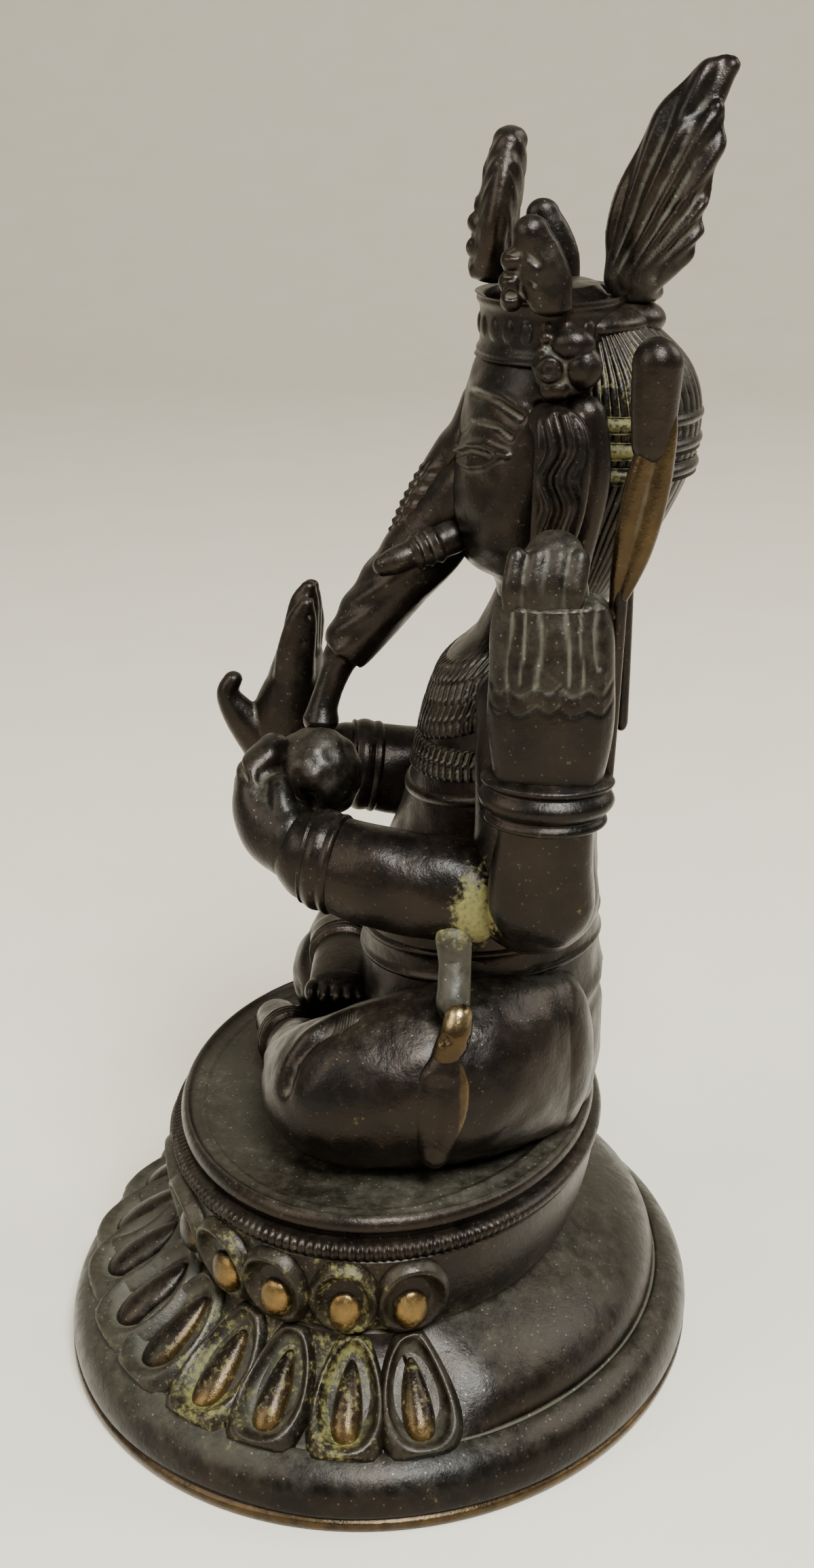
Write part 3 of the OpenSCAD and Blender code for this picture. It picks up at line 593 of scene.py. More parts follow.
piece("lotus_foot_shell", "dark_brass", [np.concatenate([inner_part, flange_part, bell_part, top_part])],
      ["lotus_foot"], place=from_floor, paint=base_paint)
drum_rows = np.concatenate([oval(np.array([[10.0], [WAIST_W - 3]]), np.array([[8.0], [WAIST_D - 3]]),
                                 WAIST_Z - 0.4, a),
                            drum(a, np.linspace(0, 1, 50)[:, None]),
                            oval(np.array([[WAIST_W - 2], [10.0]]), np.array([[WAIST_D - 2], [8.0]]),
                                 RIM_Z + 0.3, a)])


def drum_paint(points, normals, hollow):
    """The plain back of the drum is rubbed red-brown; dust and paste lie along the waist."""
    low = np.exp(-((points[:, 2] - WAIST_Z) / 2.4) ** 2)
    side = ease(points[:, 0], 8, 34) * (points[:, 1] < 6)
    return 0.08 * ease(points[:, 1], 2, 12), 0.35 * low + 0.1, 0.36 * side * (0.6 + hollow + low)


piece("seat_drum_shell", "dark_brass", [drum_rows], ["seat_drum"], place=from_floor, paint=drum_paint)
top = smooth([[34, 0.25], [20, 0.18], [9.0, 0.0], [6.6, 0.15], [5.4, 0.5], [4.4, 0.3], [3.4, 0.3],
              [2.7, 0.42], [2.1, 0.25],
              [1.75, -0.3], [1.75, -1.0], [2.2, -1.7], [2.5, -2.6]], 110)
double_lip = ease(from_front(a), 1.7, 2.3)
inward = top[:, :1]
lip_rise = (0.42 * np.exp(-((inward - 2.7) / 0.7) ** 2) * (1 - double_lip)
            + 0.3 * np.exp(-((inward - 6.0) / 0.8) ** 2) * double_lip
            - 0.3 * np.exp(-((inward - 5.4) / 1.4) ** 2) * (1 - double_lip))
deck_top = np.concatenate([
    np.stack(np.broadcast_arrays(
        (RIM_W - inward) * np.cos(a), SEAT_Y + (RIM_D - inward * np.minimum(1, (RIM_D - 3) / 34)) * np.sin(a),
        DECK_Z + top[:, 1:] - 0.25 + lip_rise), -1),
    np.stack(np.broadcast_arrays(20 * np.cos(a), SEAT_Y + 14 * np.sin(a), DECK_Z - 2.4), -1)])


def deck_paint(points, normals, hollow):
    """Dust lies on what faces upward, thicker in some broad patches than in others."""
    flat = np.clip(normals[:, 2], 0, 1) ** 2
    cloud = 0.5 + 0.5 * np.sin(points[:, 0] * 0.21 + 1) * np.sin(points[:, 1] * 0.17)
    return 0.0 * flat, flat * (0.3 + 0.16 * cloud), 0.0 * flat


piece("seat_deck_top", "dark_brass", [deck_top], ["seat_deck"], place=from_floor, paint=deck_paint,
      settle=0.1)

# %% [markdown]
# The rim is milled: a knurling tool or a file cut a notch every millimetre. The notches are a wave
# along the length of the oval, not along the angle, so that they stay even round its tight ends.

# %% Milled rim
fine = circle(3600)
step = np.hypot(RIM_W * np.sin(fine), RIM_D * np.cos(fine)) * (fine[1] - fine[0])
length = np.concatenate([[0], np.cumsum(step)])
NOTCH = 1.12
notches = round(length[-1] / NOTCH)
b = np.interp(np.arange(notches * 8) * length[-1] / (notches * 8), length, np.append(fine, 2 * np.pi))[None,
    :]
phase = np.arange(notches * 8)[None, :] * 2 * np.pi / 8
section = circle(22)[:, None]
milled = 1 - ease(from_front(b), 2.05, 2.45)
cut = 0.42 * milled * np.clip(np.cos(section - 0.1), 0,
                              1) ** 0.7 * (0.5 - 0.5 * np.cos(phase + 0.9 * np.sin(section)))
across, up = np.sign(np.cos(section)) * np.abs(np.cos(section)) ** 0.8, np.sin(section)
rim_grid = oval(RIM_W - 2.3 + 2.25 * across - cut, RIM_D - 2.3 + 2.25 * across - cut, RIM_Z + 1.3 + 1.28 * up,
                b)
piece("milled_rim", "worn_brass", [(rim_grid, "loop")], ["bead_rim"], place=from_floor, settle=0.1,
      paint=lambda p, n, h: (0.1 * ease(p[:, 0], 20, 40), 0.14 + 0.1 * ease(-p[:, 1], 0, 20), 0 * h),
      finish="dark_brass", edge=0.3)

# %% [markdown]
# A petal is a dome with a thick rolled rim round it. It is drawn on a disc of distance and angle, laid
# on the bell or the drum, and raised along the direction that the shell faces there.

# %% Lotus petals
def petals(shell, count, middle, wide, long, slope, taper, rise, reach=1.04, turn=44, rings=24):
    """count closed sheets spread over the front and sides of a shell. rise gives height from the distance
    to the middle, 0 to 1, and the places across and along the petal, -1 to 1."""
    made = []
    for k in range(count):
        at = -np.pi / 2 + PETAL_END * (2 * k / (count - 1) - 1)
        r = np.linspace(reach, 0.03, rings)[:, None]
        f = circle(turn)[None, :]
        u = r * np.sign(np.cos(f)) * np.abs(np.cos(f)) ** 0.92
        v = r * np.sign(np.sin(f)) * np.abs(np.sin(f)) ** 0.95
        here = shell(np.array([[at]]), np.array([[middle]]))[0, 0]
        radius = math.hypot(here[0], here[1] - SEAT_Y * here[2] / DECK_Z)
        ang = at + (wide * u * (1 - taper * v) + 0.35 * math.sin(3 * k)) / radius
        t = np.clip(middle + long * v / slope, -0.1, 1.0)
        p = shell(ang, t)
        du, dv = shell(ang + 0.01, t) - p, p - shell(ang, t - 0.01)
        n = np.cross(du, dv)
        n /= np.maximum(np.linalg.norm(n, axis=-1, keepdims=True), 1e-9)
        height = np.where(r > reach - 0.04, -0.9, rise(r, u, v) * (1 + 0.1 * math.sin(5 * k)))
        made.append(p + n * height[..., None])
    return made


def long_rise(r, u, v):
    """A deep trough inside a thick rolled rim, highest round the low end."""
    return -0.15 + 0.25 * np.abs(v) + (1.75 - 0.5 * v) * np.exp(-((r - 0.82) / 0.15) ** 2)


def round_rise(r, u, v):
    """A deep trough under a thick rolled arch."""
    return -0.1 + (1.6 + 0.4 * v) * np.exp(-((r - 0.8) / 0.17) ** 2)


def boss_rise(r, u, v):
    """A smooth boss: half of an egg, fuller at its low end."""
    return (2.0 - 0.5 * v) * np.sqrt(np.clip(1 - r ** 2, 0, 1)) - 0.1


def petal_paint(points, normals, hollow):
    """Grey dust on the far petals; yellow-green paste between the near ones."""
    side = ease(points[:, 0], 12, 40) * ease(points[:, 1], -38, -12)
    near = ease(points[:, 0], 22, 42) * ease(-points[:, 1], -9, -1)
    near = near * (0.62 + 0.38 * np.sin(points[:, 1] * 0.33 + 1.2))
    return 0.12 * side + 0 * hollow, 0.15 * (1 - side) + 0.28 + 0.3 * hollow, near * (0.55 + 0.9 * hollow)


def boss_paint(points, normals, hollow):
    """Fingers keep the bosses of the handled side bright, more so at their low ends."""
    side = ease(points[:, 0], 14, 38) * ease(points[:, 1], -36, -18)
    wear = side * (0.55 + 0.35 * normals[:, 0] - 0.35 * normals[:, 2])
    return wear, 0.24 * (1 - side) + 0.1 * side, 0.3 * side


BELL_SLOPE = math.hypot(WAIST_Z - FLANGE_Z, FOOT_W - GROOVE - WAIST_W)
piece("lower_petals", "dark_brass", petals(bell, 15, 0.44, 6.2, 9.2, BELL_SLOPE, 0.26, long_rise),
      ["foot_petals"],
      place=from_floor, paint=petal_paint, settle=0.1, finish="worn_brass", edge=0.25)
piece("lower_petal_bosses", "dark_brass", petals(bell, 15, 0.36, 2.5, 5.4, BELL_SLOPE, 0.3, boss_rise, 1.02,
    36, 16),
      ["foot_petals"], place=from_floor, paint=boss_paint, settle=0.05, finish="worn_brass", edge=0.2)
piece("upper_petals", "dark_brass", petals(drum, 13, 0.5, 6.9, 5.9, RIM_Z - WAIST_Z, 0.06, round_rise),
      ["drum_petals"], place=from_floor, paint=petal_paint, settle=0.1, finish="worn_brass", edge=0.25)
piece("upper_petal_bosses", "dark_brass", petals(drum, 13, 0.34, 3.2, 3.0, RIM_Z - WAIST_Z, 0.0, boss_rise,
    1.02, 36, 16),
      ["drum_petals"], place=from_floor, paint=boss_paint, settle=0.05, finish="worn_brass", edge=0.2)

# %% [markdown]
# ## The body
# The body is a stack of ovals from hips to neck. Bands that are worn round it are closed loops: the
# cross-section of the band is carried round the body, on the body's own surface, between two planes
# that tip forward. The hatching of the cloth and the necklace was cut with a small chisel.

# %% Torso
TORSO = [[17, 15, 15, -1], [18.6, 16.3, 14.8, 6], [19, 16.8, 14.4, 14], [18.6, 16.4, 14.2, 24],
         [17.6, 15.4, 14.8, 33],
         [16.4, 13.6, 16.6, 42], [16.6, 12.6, 17.8, 50], [16.8, 11.6, 18.4, 57], [15.4, 10.2, 19.4, 63],
         [12, 8, 21, 67], [8.4, 6, 21.8, 72.5]]


def torso_carve(p, n):
    """A hollow spine, a navel, a fold under the belly and soft dents left by the wax."""
    rise = lines(
        p,
        ([[0, 31.5, 24], [0, 31, 40], [0, 30.5, 56]], 1.6, -0.6),
        ([[18.6, 16, 4], [16, 24, 10], [9, 29.6, 15], [0, 31.5, 17]], 1.3, -0.5),
        ([[18.8, 17, 7], [16, 24.6, 12.6], [9, 30, 17.4], [0, 31.8, 19.4]], 1.5, 0.45))
    rise += lump(p, [0, 1, 30], 1.2, -1.2) + chase(p, [[0, -1.6, 36], [9, 1.2, 36.6], [15, 7, 37.4]], 1.0,
        -0.5)
    return rise + 0.1 * np.sin(p[:, 0] * 0.9 + 1) * np.sin(p[:, 2] * 0.8) * np.sin(p[:, 1] * 0.7 + 2)


def even(wear=0.0, dust=0.0, packed=0.0):
    """The same wear and dust all over, and packed times the hollow as more dust."""
    return lambda p, n, h: (wear + 0 * h, dust + packed * h, 0 * h)


def torso_paint(p, n, h):
    """Yellow paste in the armpit of the left arm, dust where the body meets the seat."""
    paste = 0.8 * np.exp(-(((p - [19, 14, 32]) / [5, 2.6, 4.5]) ** 2).sum(1))
    return 0.14 * ease(p[:, 1], 22, 30), 0.35 * ease(-p[:, 2], -7, 0), paste


piece("torso_skin", "dark_brass", [stack(TORSO, 190, 220)], ["torso"], carve=torso_carve, paint=torso_paint)

# %% Bands worn round the body
BAND_Y = 18


def band(height, breadth, tip, rise, sections=28, around=640):
    """The cross-section runs out over the band and back under it. The height on the body depends on how
    far forward a point is, so it is found by going round the sum a few times."""
    rows = smooth(TORSO, 600)
    a = circle(around)[None, :]
    v = np.concatenate([np.linspace(-1, 1, sections), np.linspace(0.9, -0.9, 6)])[:, None]
    h = np.concatenate([np.ones(sections), np.full(6, -1.0)])[:, None]
    z = np.full((len(v), around), float(height))
    for _ in range(8):
        w, d, y0 = (np.interp(z, rows[:, 3], rows[:, k]) for k in range(3))
        y = y0 + d * np.sin(a)
        z = height + (y - BAND_Y) * math.tan(math.radians(tip)) + v * breadth / 2
    high = np.where(h > 0, rise(v, a) * (1 - np.abs(v) ** 14) - 0.25 * np.abs(v) ** 14, -0.8)
    return (np.stack([(w + high) * np.cos(a), y0 + (d + high) * np.sin(a), z], -1), "loop")


def bar(v, at, wide):
    """A raised line at one place across a band."""
    return np.exp(-((v - at) / wide) ** 2)


def belt_rise(v, a):
    """Two rounded cords and the flat between them."""
    return 0.02 + 0.3 * bar(v, -0.7, 0.2) + 0.3 * bar(v, 0.7, 0.2) - 0.1 * bar(v, 0.0, 0.3)


def hatch_rise(rows, strokes, lean):
    """Rows of slanting chisel strokes between raised lines."""
    def rise(v, a):
        row = np.floor((v + 1) / 2 * rows)
        line = sum(bar(v, -1 + 2 * k / rows, 0.055 * 4 / rows) for k in range(rows + 1))
        way = np.where(row % 2 == 0, 1.0, -1.0)
        cut = 0.5 + 0.5 * np.tanh(2.5 * np.cos(strokes * a + way * lean * v * rows + 1.3 * row))
        return 0.15 + 0.5 * line + 0.55 * cut * (1 - line)
    return rise


cloth_paint = even(0.1, 0.16, 0.5)      # dust packs the hatching, and its crests are rubbed brown


piece("waist_belt", "worn_brass", [band(25.5, 5, 4, belt_rise)], ["belt"], finish="dark_brass",
      paint=even(0.05, 0.12))
piece("chest_cloth", "worn_brass", [band(53, 4.6, 10, hatch_rise(2, 70, 1.0)),
                                    band(48.2, 1.6, 10, lambda v, a: 0.5 - 0.4 * v * v)],
      ["chest_band"], finish="dark_brass", paint=cloth_paint)
piece("hatched_necklace", "worn_brass", [band(63, 9, 26, hatch_rise(4, 66, 1.2))], ["necklace"],
      finish="dark_brass",
      paint=cloth_paint)

# %% [markdown]
# ## Legs and feet
# A leg is a limb: an egg carried along a path from the hip round the knee to the ankle. The cloth over
# the knee is a ridge with a groove beside it. The toes are small eggs fused to the foot.

# %% Legs
LEFT_LEG = [[13, 25, 11.6, 8, 5.5, 11.8], [21, 15, 12.2, 10.5, 10, 12.3], [24.5, 4, 11.1, 11, 11, 11.3],
            [24, -3, 9.7, 9.5, 9.6, 9.9], [15, -8.5, 6.9, 7.5, 6.2, 7.1], [5, -10.5, 5.1, 5, 4.8, 5.3]]
RIGHT_LEG = [[13, 25, 11.6, 8, 5.5, 11.8], [21, 15, 12.2, 10.5, 10, 12.3], [24.5, 3, 10.9, 11, 11, 11.1],
             [24, -4.6, 9.5, 9.6, 9.8, 9.7], [17.5, -9.6, 7.9, 7, 5.6, 8]]


def leg_carve(p, n):
    """The hem of the cloth over the knee, folds behind it, and the seam where the leg meets the seat."""
    rise = lines(
        p,
        ([[31.5, -9, 12.5], [30, -7.4, 16.3], [28.4, -4, 19.2], [27, -0.4, 21.2]], 0.9, -1.0),
        ([[31.3, -11, 14.5], [29, -8.6, 18], [27, -5, 20.4], [25.5, 0, 22.6], [24, 6, 23.6]], 1.5, 0.8),
        ([[32.5, -5, 12.5], [31, -2, 17], [28.6, 2.6, 20.4], [26.6, 8, 22.6]], 1.7, 0.5),
        ([[34.5, 9, 3], [33, 12.5, 9], [30.6, 15, 15]], 1.2, -0.55),
        ([[31, 17, 3], [27.5, 21, 9], [24, 23, 15]], 1.3, -0.5),
        ([[20, -14, 9], [12, -14, 7], [6, -14.6, 6]], 0.9, -0.5))
    return rise + 0.12 * np.sin(p[:, 0] * 1.1) * np.sin(p[:, 1] * 0.8 + 1) * np.sin(p[:, 2] * 0.9)


def leg_paint(p, n, h):
    """Grey dust where the leg meets the deck and on top; a dull sheen is left on the knee."""
    low = ease(-p[:, 2], -3.5, 0.5)
    knee = np.exp(-(((p - [34, -2, 9]) / 5) ** 2).sum(1))
    return 0.05 * knee, 0.4 * low + 0.1 * np.clip(n[:, 2], 0, 1) - 0.3 * knee, 0 * h


piece("left_leg_cloth", "dark_brass", [limb(LEFT_LEG, 150, 130, 22)], ["left_leg"], carve=leg_carve,
      paint=leg_paint)
piece("right_leg_cloth", "dark_brass", [mirror(limb(RIGHT_LEG, 130, 110, 20))], ["right_leg"],
      carve=leg_carve,
      paint=leg_paint)


def toes(points, sizes):
    """Small eggs side by side."""
    return [egg(*p, *s, 16, 20) for p, s in zip(points, sizes)]


LEFT_FOOT = [[5, -11, 4.6, 4.4, 4, 4.6], [-2, -13.5, 4.1, 4.4, 3.8, 4.1], [-8, -15.6, 3.3, 4.2, 3.4, 3.3],
             [-12.0, -16.8, 2.9, 3, 3.2, 2.8]]
RIGHT_FOOT = [[-15, -8, 14.6, 4, 4.2, 4], [-9, -6.4, 15.6, 4, 4.2, 3.6], [-2, -5.4, 15.8, 3.8, 4.6, 3],
              [4, -5, 15.6, 2.6, 4.6, 2.4]]
left_toes = toes([[-13.6, -14.2, 2.6], [-13.9, -15.7, 2.5], [-13.8, -17.1, 2.3], [-13.2, -18.4, 2.1],
                  [-12.3, -19.4, 1.9]],
                 [[2.4, 0.95, 1.5], [2.3, 0.85, 1.35], [2.2, 0.8, 1.25], [2.1, 0.75, 1.15], [2.0, 0.7, 1.05]])
right_toes = toes([[6.2, -8.8, 15.6], [6.5, -6.9, 15.5], [6.4, -5.2, 15.4], [6.0, -3.6, 15.2],
                   [5.3, -2.1, 15.0]],
                  [[2.2, 1.1, 1.6], [2.0, 0.95, 1.3], [1.9, 0.9, 1.2], [1.8, 0.85, 1.1], [1.7, 0.8, 1.0]])
for name, rows, ends, node in (("left_foot_sole", LEFT_FOOT, left_toes, "left_foot"),
                               ("right_foot_sole", RIGHT_FOOT, right_toes, "right_foot")):
    piece(name, "dark_brass", [limb(rows, 50, 48, 10)] + ends, [node], fuse=0.3, soften=2,
          paint=even(0.12, 0.08))


def cuff(rows, at, wide, extra, cords=3, along=60):
    """A ring worn on a limb: slices of the limb, swollen by a row of cords and closed inside the limb."""
    body = limb(rows, 400, 90, 1)[1:-1]
    t = np.linspace(at - wide / 2, at + wide / 2, along)
    ring = body[np.clip((t * 399).astype(int), 0, 399)]
    middle = ring.mean(1, keepdims=True)
    out = ring - middle
    out /= np.linalg.norm(out, axis=2, keepdims=True)
    v = np.linspace(-1, 1, along)[:, None, None]
    high = extra * (0.45 + 0.55 * np.abs(np.cos(v * np.pi / 2 * cords))) * (1 - np.abs(v) ** 8)
    return (np.concatenate([ring + out * (high - 0.4 * np.abs(v) ** 8), (ring - out * 0.9)[::-6]]), "loop")


piece("left_anklet_ring", "worn_brass", [cuff(LEFT_FOOT, 0.34, 0.17, 0.8)], ["left_anklet"],
      paint=even(0.1, 0.1))
piece("right_anklet_ring", "worn_brass", [cuff(RIGHT_FOOT, 0.36, 0.17, 0.8)], ["right_anklet"],
      paint=even(0.1, 0.1))

# %% [markdown]
# ## Arms and hands
# Each side has one upper arm that carries two forearms. The rear forearm is broad and flat like a
# paddle. Fingers are thin limbs laid beside each other and fused with the palm, then softened, as wax
# fingers are when the maker strokes them together.

# %% Arms
UPPER_ARM = [[17, 21.5, 61, 5.4, 7.2, 6.4], [20, 22, 50, 4.8, 7.4, 7], [22.6, 22.6, 38, 7.4, 8.2, 8.2]]
FRONT_FOREARM = [[22.5, 14, 37.6, 6.2, 6, 6.8], [22, 3, 38.8, 6, 6, 6.8], [19.6, -7, 40.8, 5.4, 4.6, 6]]
REAR_FOREARM = [[28, 23.6, 40, 5.6, 7, 7], [29.6, 24, 51, 4.6, 6.2, 4], [30, 24.4, 62, 5.2, 7.8, 6],
                [29.4, 24.4, 73, 5.1, 7.7, 3], [29.2, 24.2, 77.2, 4.7, 7.0, 1.4]]


def slab(u, a):
    """Flattens a round limb's outer face a little, by the fourth harmonic."""
    return -0.28 * np.cos(4 * a) * np.ones_like(u)


def strokes(p):
    """Distance in mm to the nearest upright scratch; they stand 2.3 mm apart and waver on their way down."""
    y = p[:, 1] - 16.6 + 0.35 * np.sin(p[:, 2] * 0.45 + 0.4 * p[:, 1]) + 0.6 * np.sin(p[:, 1] * 0.9)
    return np.abs((y + 1.15) % 2.3 - 1.15)


def paddle_carve(p, n):
    """Upright scratches below the wrist, and two rows of small swags that close them."""
    outer = ease(n[:, 0] * np.sign(p[:, 0]), 0.2, 0.6)
    upright = -0.2 * np.exp(-(strokes(p) / 0.35) ** 2) * ease(p[:, 2], 67.6, 69) * outer
    hang = 1.0 * np.abs(np.sin((p[:, 1] - 16.4 + 0.4 * np.sin(p[:, 1])) * np.pi / 3.1)) + 0.3 * np.sin(p[:, 1]
        * 0.7)
    swags = sum(-0.18 * np.exp(-((p[:, 2] - z + hang) / 0.38) ** 2) for z in (68.6, 66.2)) * outer
    ridge = chase(p, [[33.5, 30.4, 70], [34.5, 30.8, 60], [33, 29.5, 53]], 0.7, 0.35)
    return upright + swags + ridge + 0.09 * np.sin(p[:, 2] * 0.6 + 1) * np.sin(p[:, 1] * 0.8)


def arm_paint(p, n, h):
    """Paste in the crook of the left arm; brown rub on the elbows."""
    paste = 1.15 * np.exp(-(((p - [28, 15.4, 36.5]) / [8, 2.9, 5.4]) ** 2).sum(1))
    elbow = ease(-p[:, 2], -37, -31)
    return 0.1 + 0.12 * elbow, 0.18 * ease(-p[:, 2], -40, -30), paste


def paddle_paint(p, n, h):
    """The paddle is rubbed red-brown, with grey dust in its strokes and on its top."""
    top = ease(p[:, 2], 64, 70)
    stroke = top * np.exp(-(strokes(p) / 0.35) ** 2) * (0.6 + 0.4 * np.sin(1.3 * p[:, 1] + 0.5 * p[:, 2]))
    return 0.1 * (1 - top), 0.06 + 0.2 * top - 0.1 * h + 0.22 * stroke, 0 * h


for side, turn in SIDES:
    piece(side + "_upper_arm_skin", "dark_brass", [turn(limb(UPPER_ARM, 90, 90, 16))], [side + "_upper_arm"],
          paint=arm_paint, carve=lambda p, n: 0.1 * np.sin(p[:, 2] * 0.5) * np.sin(p[:, 1]))
    piece(side + "_front_forearm_skin", "dark_brass", [turn(limb(FRONT_FOREARM, 90, 90, 16, face=(0, 0, 1)))],
          [side + "_front_forearm"], paint=arm_paint, carve=lambda p,
          n: 0.12 * np.sin(p[:, 1] * 0.7) * np.sin(p[:, 2] * 0.9))
    piece(side + "_rear_forearm_paddle", "dark_brass", [turn(limb(REAR_FOREARM, 200, 190, 16, relief=slab))],
          [side + "_rear_forearm"], carve=paddle_carve, paint=paddle_paint)
    piece(side + "_armlet_ring", "worn_brass", [turn(cuff(REAR_FOREARM, 0.3, 0.15, 1.95, 2))],
          [side + "_armlet"], finish="dark_brass", paint=even(0.22, 0.05))
    piece(side + "_bracelet_ring", "worn_brass", [turn(cuff(FRONT_FOREARM, 0.87, 0.26, 0.6, 2))],
          [side + "_bracelet"], finish="dark_brass", paint=even(0.2, 0.05))

# %% Hands
REAR_HAND = [[29.0, 23.6, 76.4, 4.4, 5.3, 3], [28.6, 23.6, 80.4, 4.3, 4.8, 3.4],
             [28, 24.4, 83.4, 3.6, 3.4, 2.6]]
fist = [limb(REAR_HAND, 60, 70, 12)]
for y, low in ((19.6, 77.4), (22.1, 77.0), (24.6, 77.2), (27.0, 77.6)):
    fist.append(limb([[32.0, y, low, 0.8, 1.2, 1.2], [32.3, y, 79.5, 1.0, 1.3, 2],
                      [30.9, y + 0.5, 83.0, 1.3, 1.3, 1.6]], 40, 24, 8))
for side, turn in SIDES:
    piece(side + "_rear_fist", "dark_brass", [turn(s) for s in fist], [side + "_rear_hand"], fuse=0.3,
          soften=3,
          paint=even(0, 0.24, 0.1))
LEFT_HAND = [[18.4, -9.4, 42.2, 4.8, 4, 5.4], [15.4, -13.4, 44, 4.8, 3.8, 5],
             [12.6, -15.0, 48.4, 4.6, 2.7, 4],
             [10.6, -13, 51.6, 3.8, 2.4, 2.6]]
holding = [limb(LEFT_HAND, 70, 80, 14, face=(1, 0, 0)), egg(14.8, -12.2, 44.8, 4.7, 4.0, 5.4, 40, 50),
           egg(12.6, -13.8, 48, 3.9, 3.2, 3.8, 40, 50),
           limb([[20.0, -9.2, 43.0, 2.4, 2.4, 2.4], [18.6, -10.4, 46.6, 2.0, 2.0, 2],
                 [16.6, -11.0, 49.4, 1.6, 1.6, 1.4]], 40, 30, 8)]


def finger_carve(p, n):
    """Grooves part the fingers that curl round the ball; a few fine lines cross the knuckles."""
    rise = 0.0
    for k in range(3):
        rise = rise + chase(p, [[19.6, -12.4 + 1.0 * k, 48.6 - 3.3 * k],
                                [17.4, -15.4 + 0.5 * k, 50 - 2.6 * k], [14, -17.2 + 0.2 * k, 51 - 2.0 * k],
                                [10, -17, 51.4 - 1.6 * k], [7.4, -15, 51.6 - 1.4 * k]], 0.5, -0.75, False)
    rise = rise + chase(p, [[21.8, -10.4, 47], [20.6, -12, 51], [17.6, -12.4, 53.4]], 0.6, -0.5, False)
    return rise + 0.12 * np.sin(p[:, 2] * 0.8) * np.sin(p[:, 0] * 0.7)


piece("left_holding_hand", "dark_brass", holding, ["left_front_hand"], fuse=0.28, soften=4,
      carve=finger_carve,
      paint=lambda p, n, h: (0.14 * ease(-p[:, 1], 12, 17), 0.14 + 0.2 * h, 0 * h))
palm = [limb([[18.8, -9.4, 41, 4.6, 4.2, 5], [19, -15.2, 45.6, 4.6, 5.8, 5], [19.4, -14.4, 53, 4.8, 4.2, 4.4],
              [19.4, -13.8, 57, 4.6, 3.4, 2.6]], 60, 60, 10, face=(1, 0, 0))]
for k, (x, tall) in enumerate(((15.6, 63.0), (18.2, 64.8), (20.9, 64.4), (23.4, 61.4))):
    palm.append(limb([[19.4 + 0.8 * (x - 19.4), -14.2, 54.5, 1.7, 3.0, 2], [x, -13.7, 58.5, 1.5, 2.8, 2],
                      [x, -12.8, tall, 1.4, 2.2, 1.8],
                      [x, -12.2, tall + 2.4, 1.1, 1.2, 1.0]], 36, 22, 6))
palm.append(limb([[18.2, -19.4, 44.4, 3, 3.4, 3.6], [17.6, -22.6, 48.4, 2.4, 2.3, 2.8],
                  [17.2, -24.0, 51.4, 1.9, 1.7, 1.8],
                  [17.2, -23.2, 53.6, 1.5, 1.4, 1.2]], 36, 28, 8))


def nail_carve(p, n):
    """A small step at the root of each nail."""
    rise = 0.0
    for x, z in ((15.6, 63.4), (18.2, 65.2), (20.9, 64.8), (23.4, 61.8)):
        rise = rise + chase(p, [[x - 1, -11.6, z + 0.4], [x, -11.4, z - 0.4], [x + 1, -11.6, z + 0.4]], 0.35,
                            -0.35)
    return rise + chase(p, [[14.5, -12.4, 60], [24.5, -12.4, 58.4]], 0.4, -0.25)


piece("right_raised_hand", "dark_brass", [mirror(s) for s in palm], ["right_front_hand"], fuse=0.28, soften=3,
      carve=nail_carve, paint=even(0.08, 0.12))
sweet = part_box("sweet_ball")
SWEET = np.array([(sweet[0][k] + sweet[1][k]) / 2 for k in range(3)])
SWEET = (SWEET - [0, 0, DECK]) / (MM * FIG)
SWEET_R = (sweet[1].x - sweet[0].x) / 2 / (MM * FIG)


def sweet_carve(p, n):
    """A lumpy ball of sweets with a hollow bitten into its front."""
    q = p - SWEET
    rise = 0.22 * np.sin(q[:, 0] * 1.3) * np.sin(q[:, 1] * 1.5 + 1) * np.sin(q[:, 2] * 1.2)
    return rise + lump(p, SWEET + [5.4, -1.6, -2.6], 1.9, -2.8, False) + lump(p, SWEET + [1.5, 1.6, 5.6], 2.2,
        0.7, False)


piece("ball_of_sweets", "worn_brass", [egg(*SWEET, SWEET_R, SWEET_R, SWEET_R, 110, 160)], ["sweet_ball"],
      carve=sweet_carve, finish="dark_brass", paint=even(0.03, 0.24))

# %% [markdown]
# ## Head, trunk, tusks and ears
# The head is a stack of ovals. The eyelids, the two folds over the eye and the cheek were drawn in the
# wax with a blunt point, so they are chased lines that go through points on the surface.

# %% Head
HEAD = [[8.4, 6, 21.8, 71.5], [9.6, 6.6, 21.6, 74.6], [12.6, 9.2, 20.6, 77], [14.4, 10, 20, 81],
        [15.6, 10.4, 20, 86],
        [15.8, 10.5, 20.8, 92], [15.0, 10.1, 21.5, 98], [13.7, 9.4, 22.1, 102.6], [12.0, 8, 22.4, 104.4],
        [11.4, 7.4, 22.8, 109], [8, 5, 23, 112]]


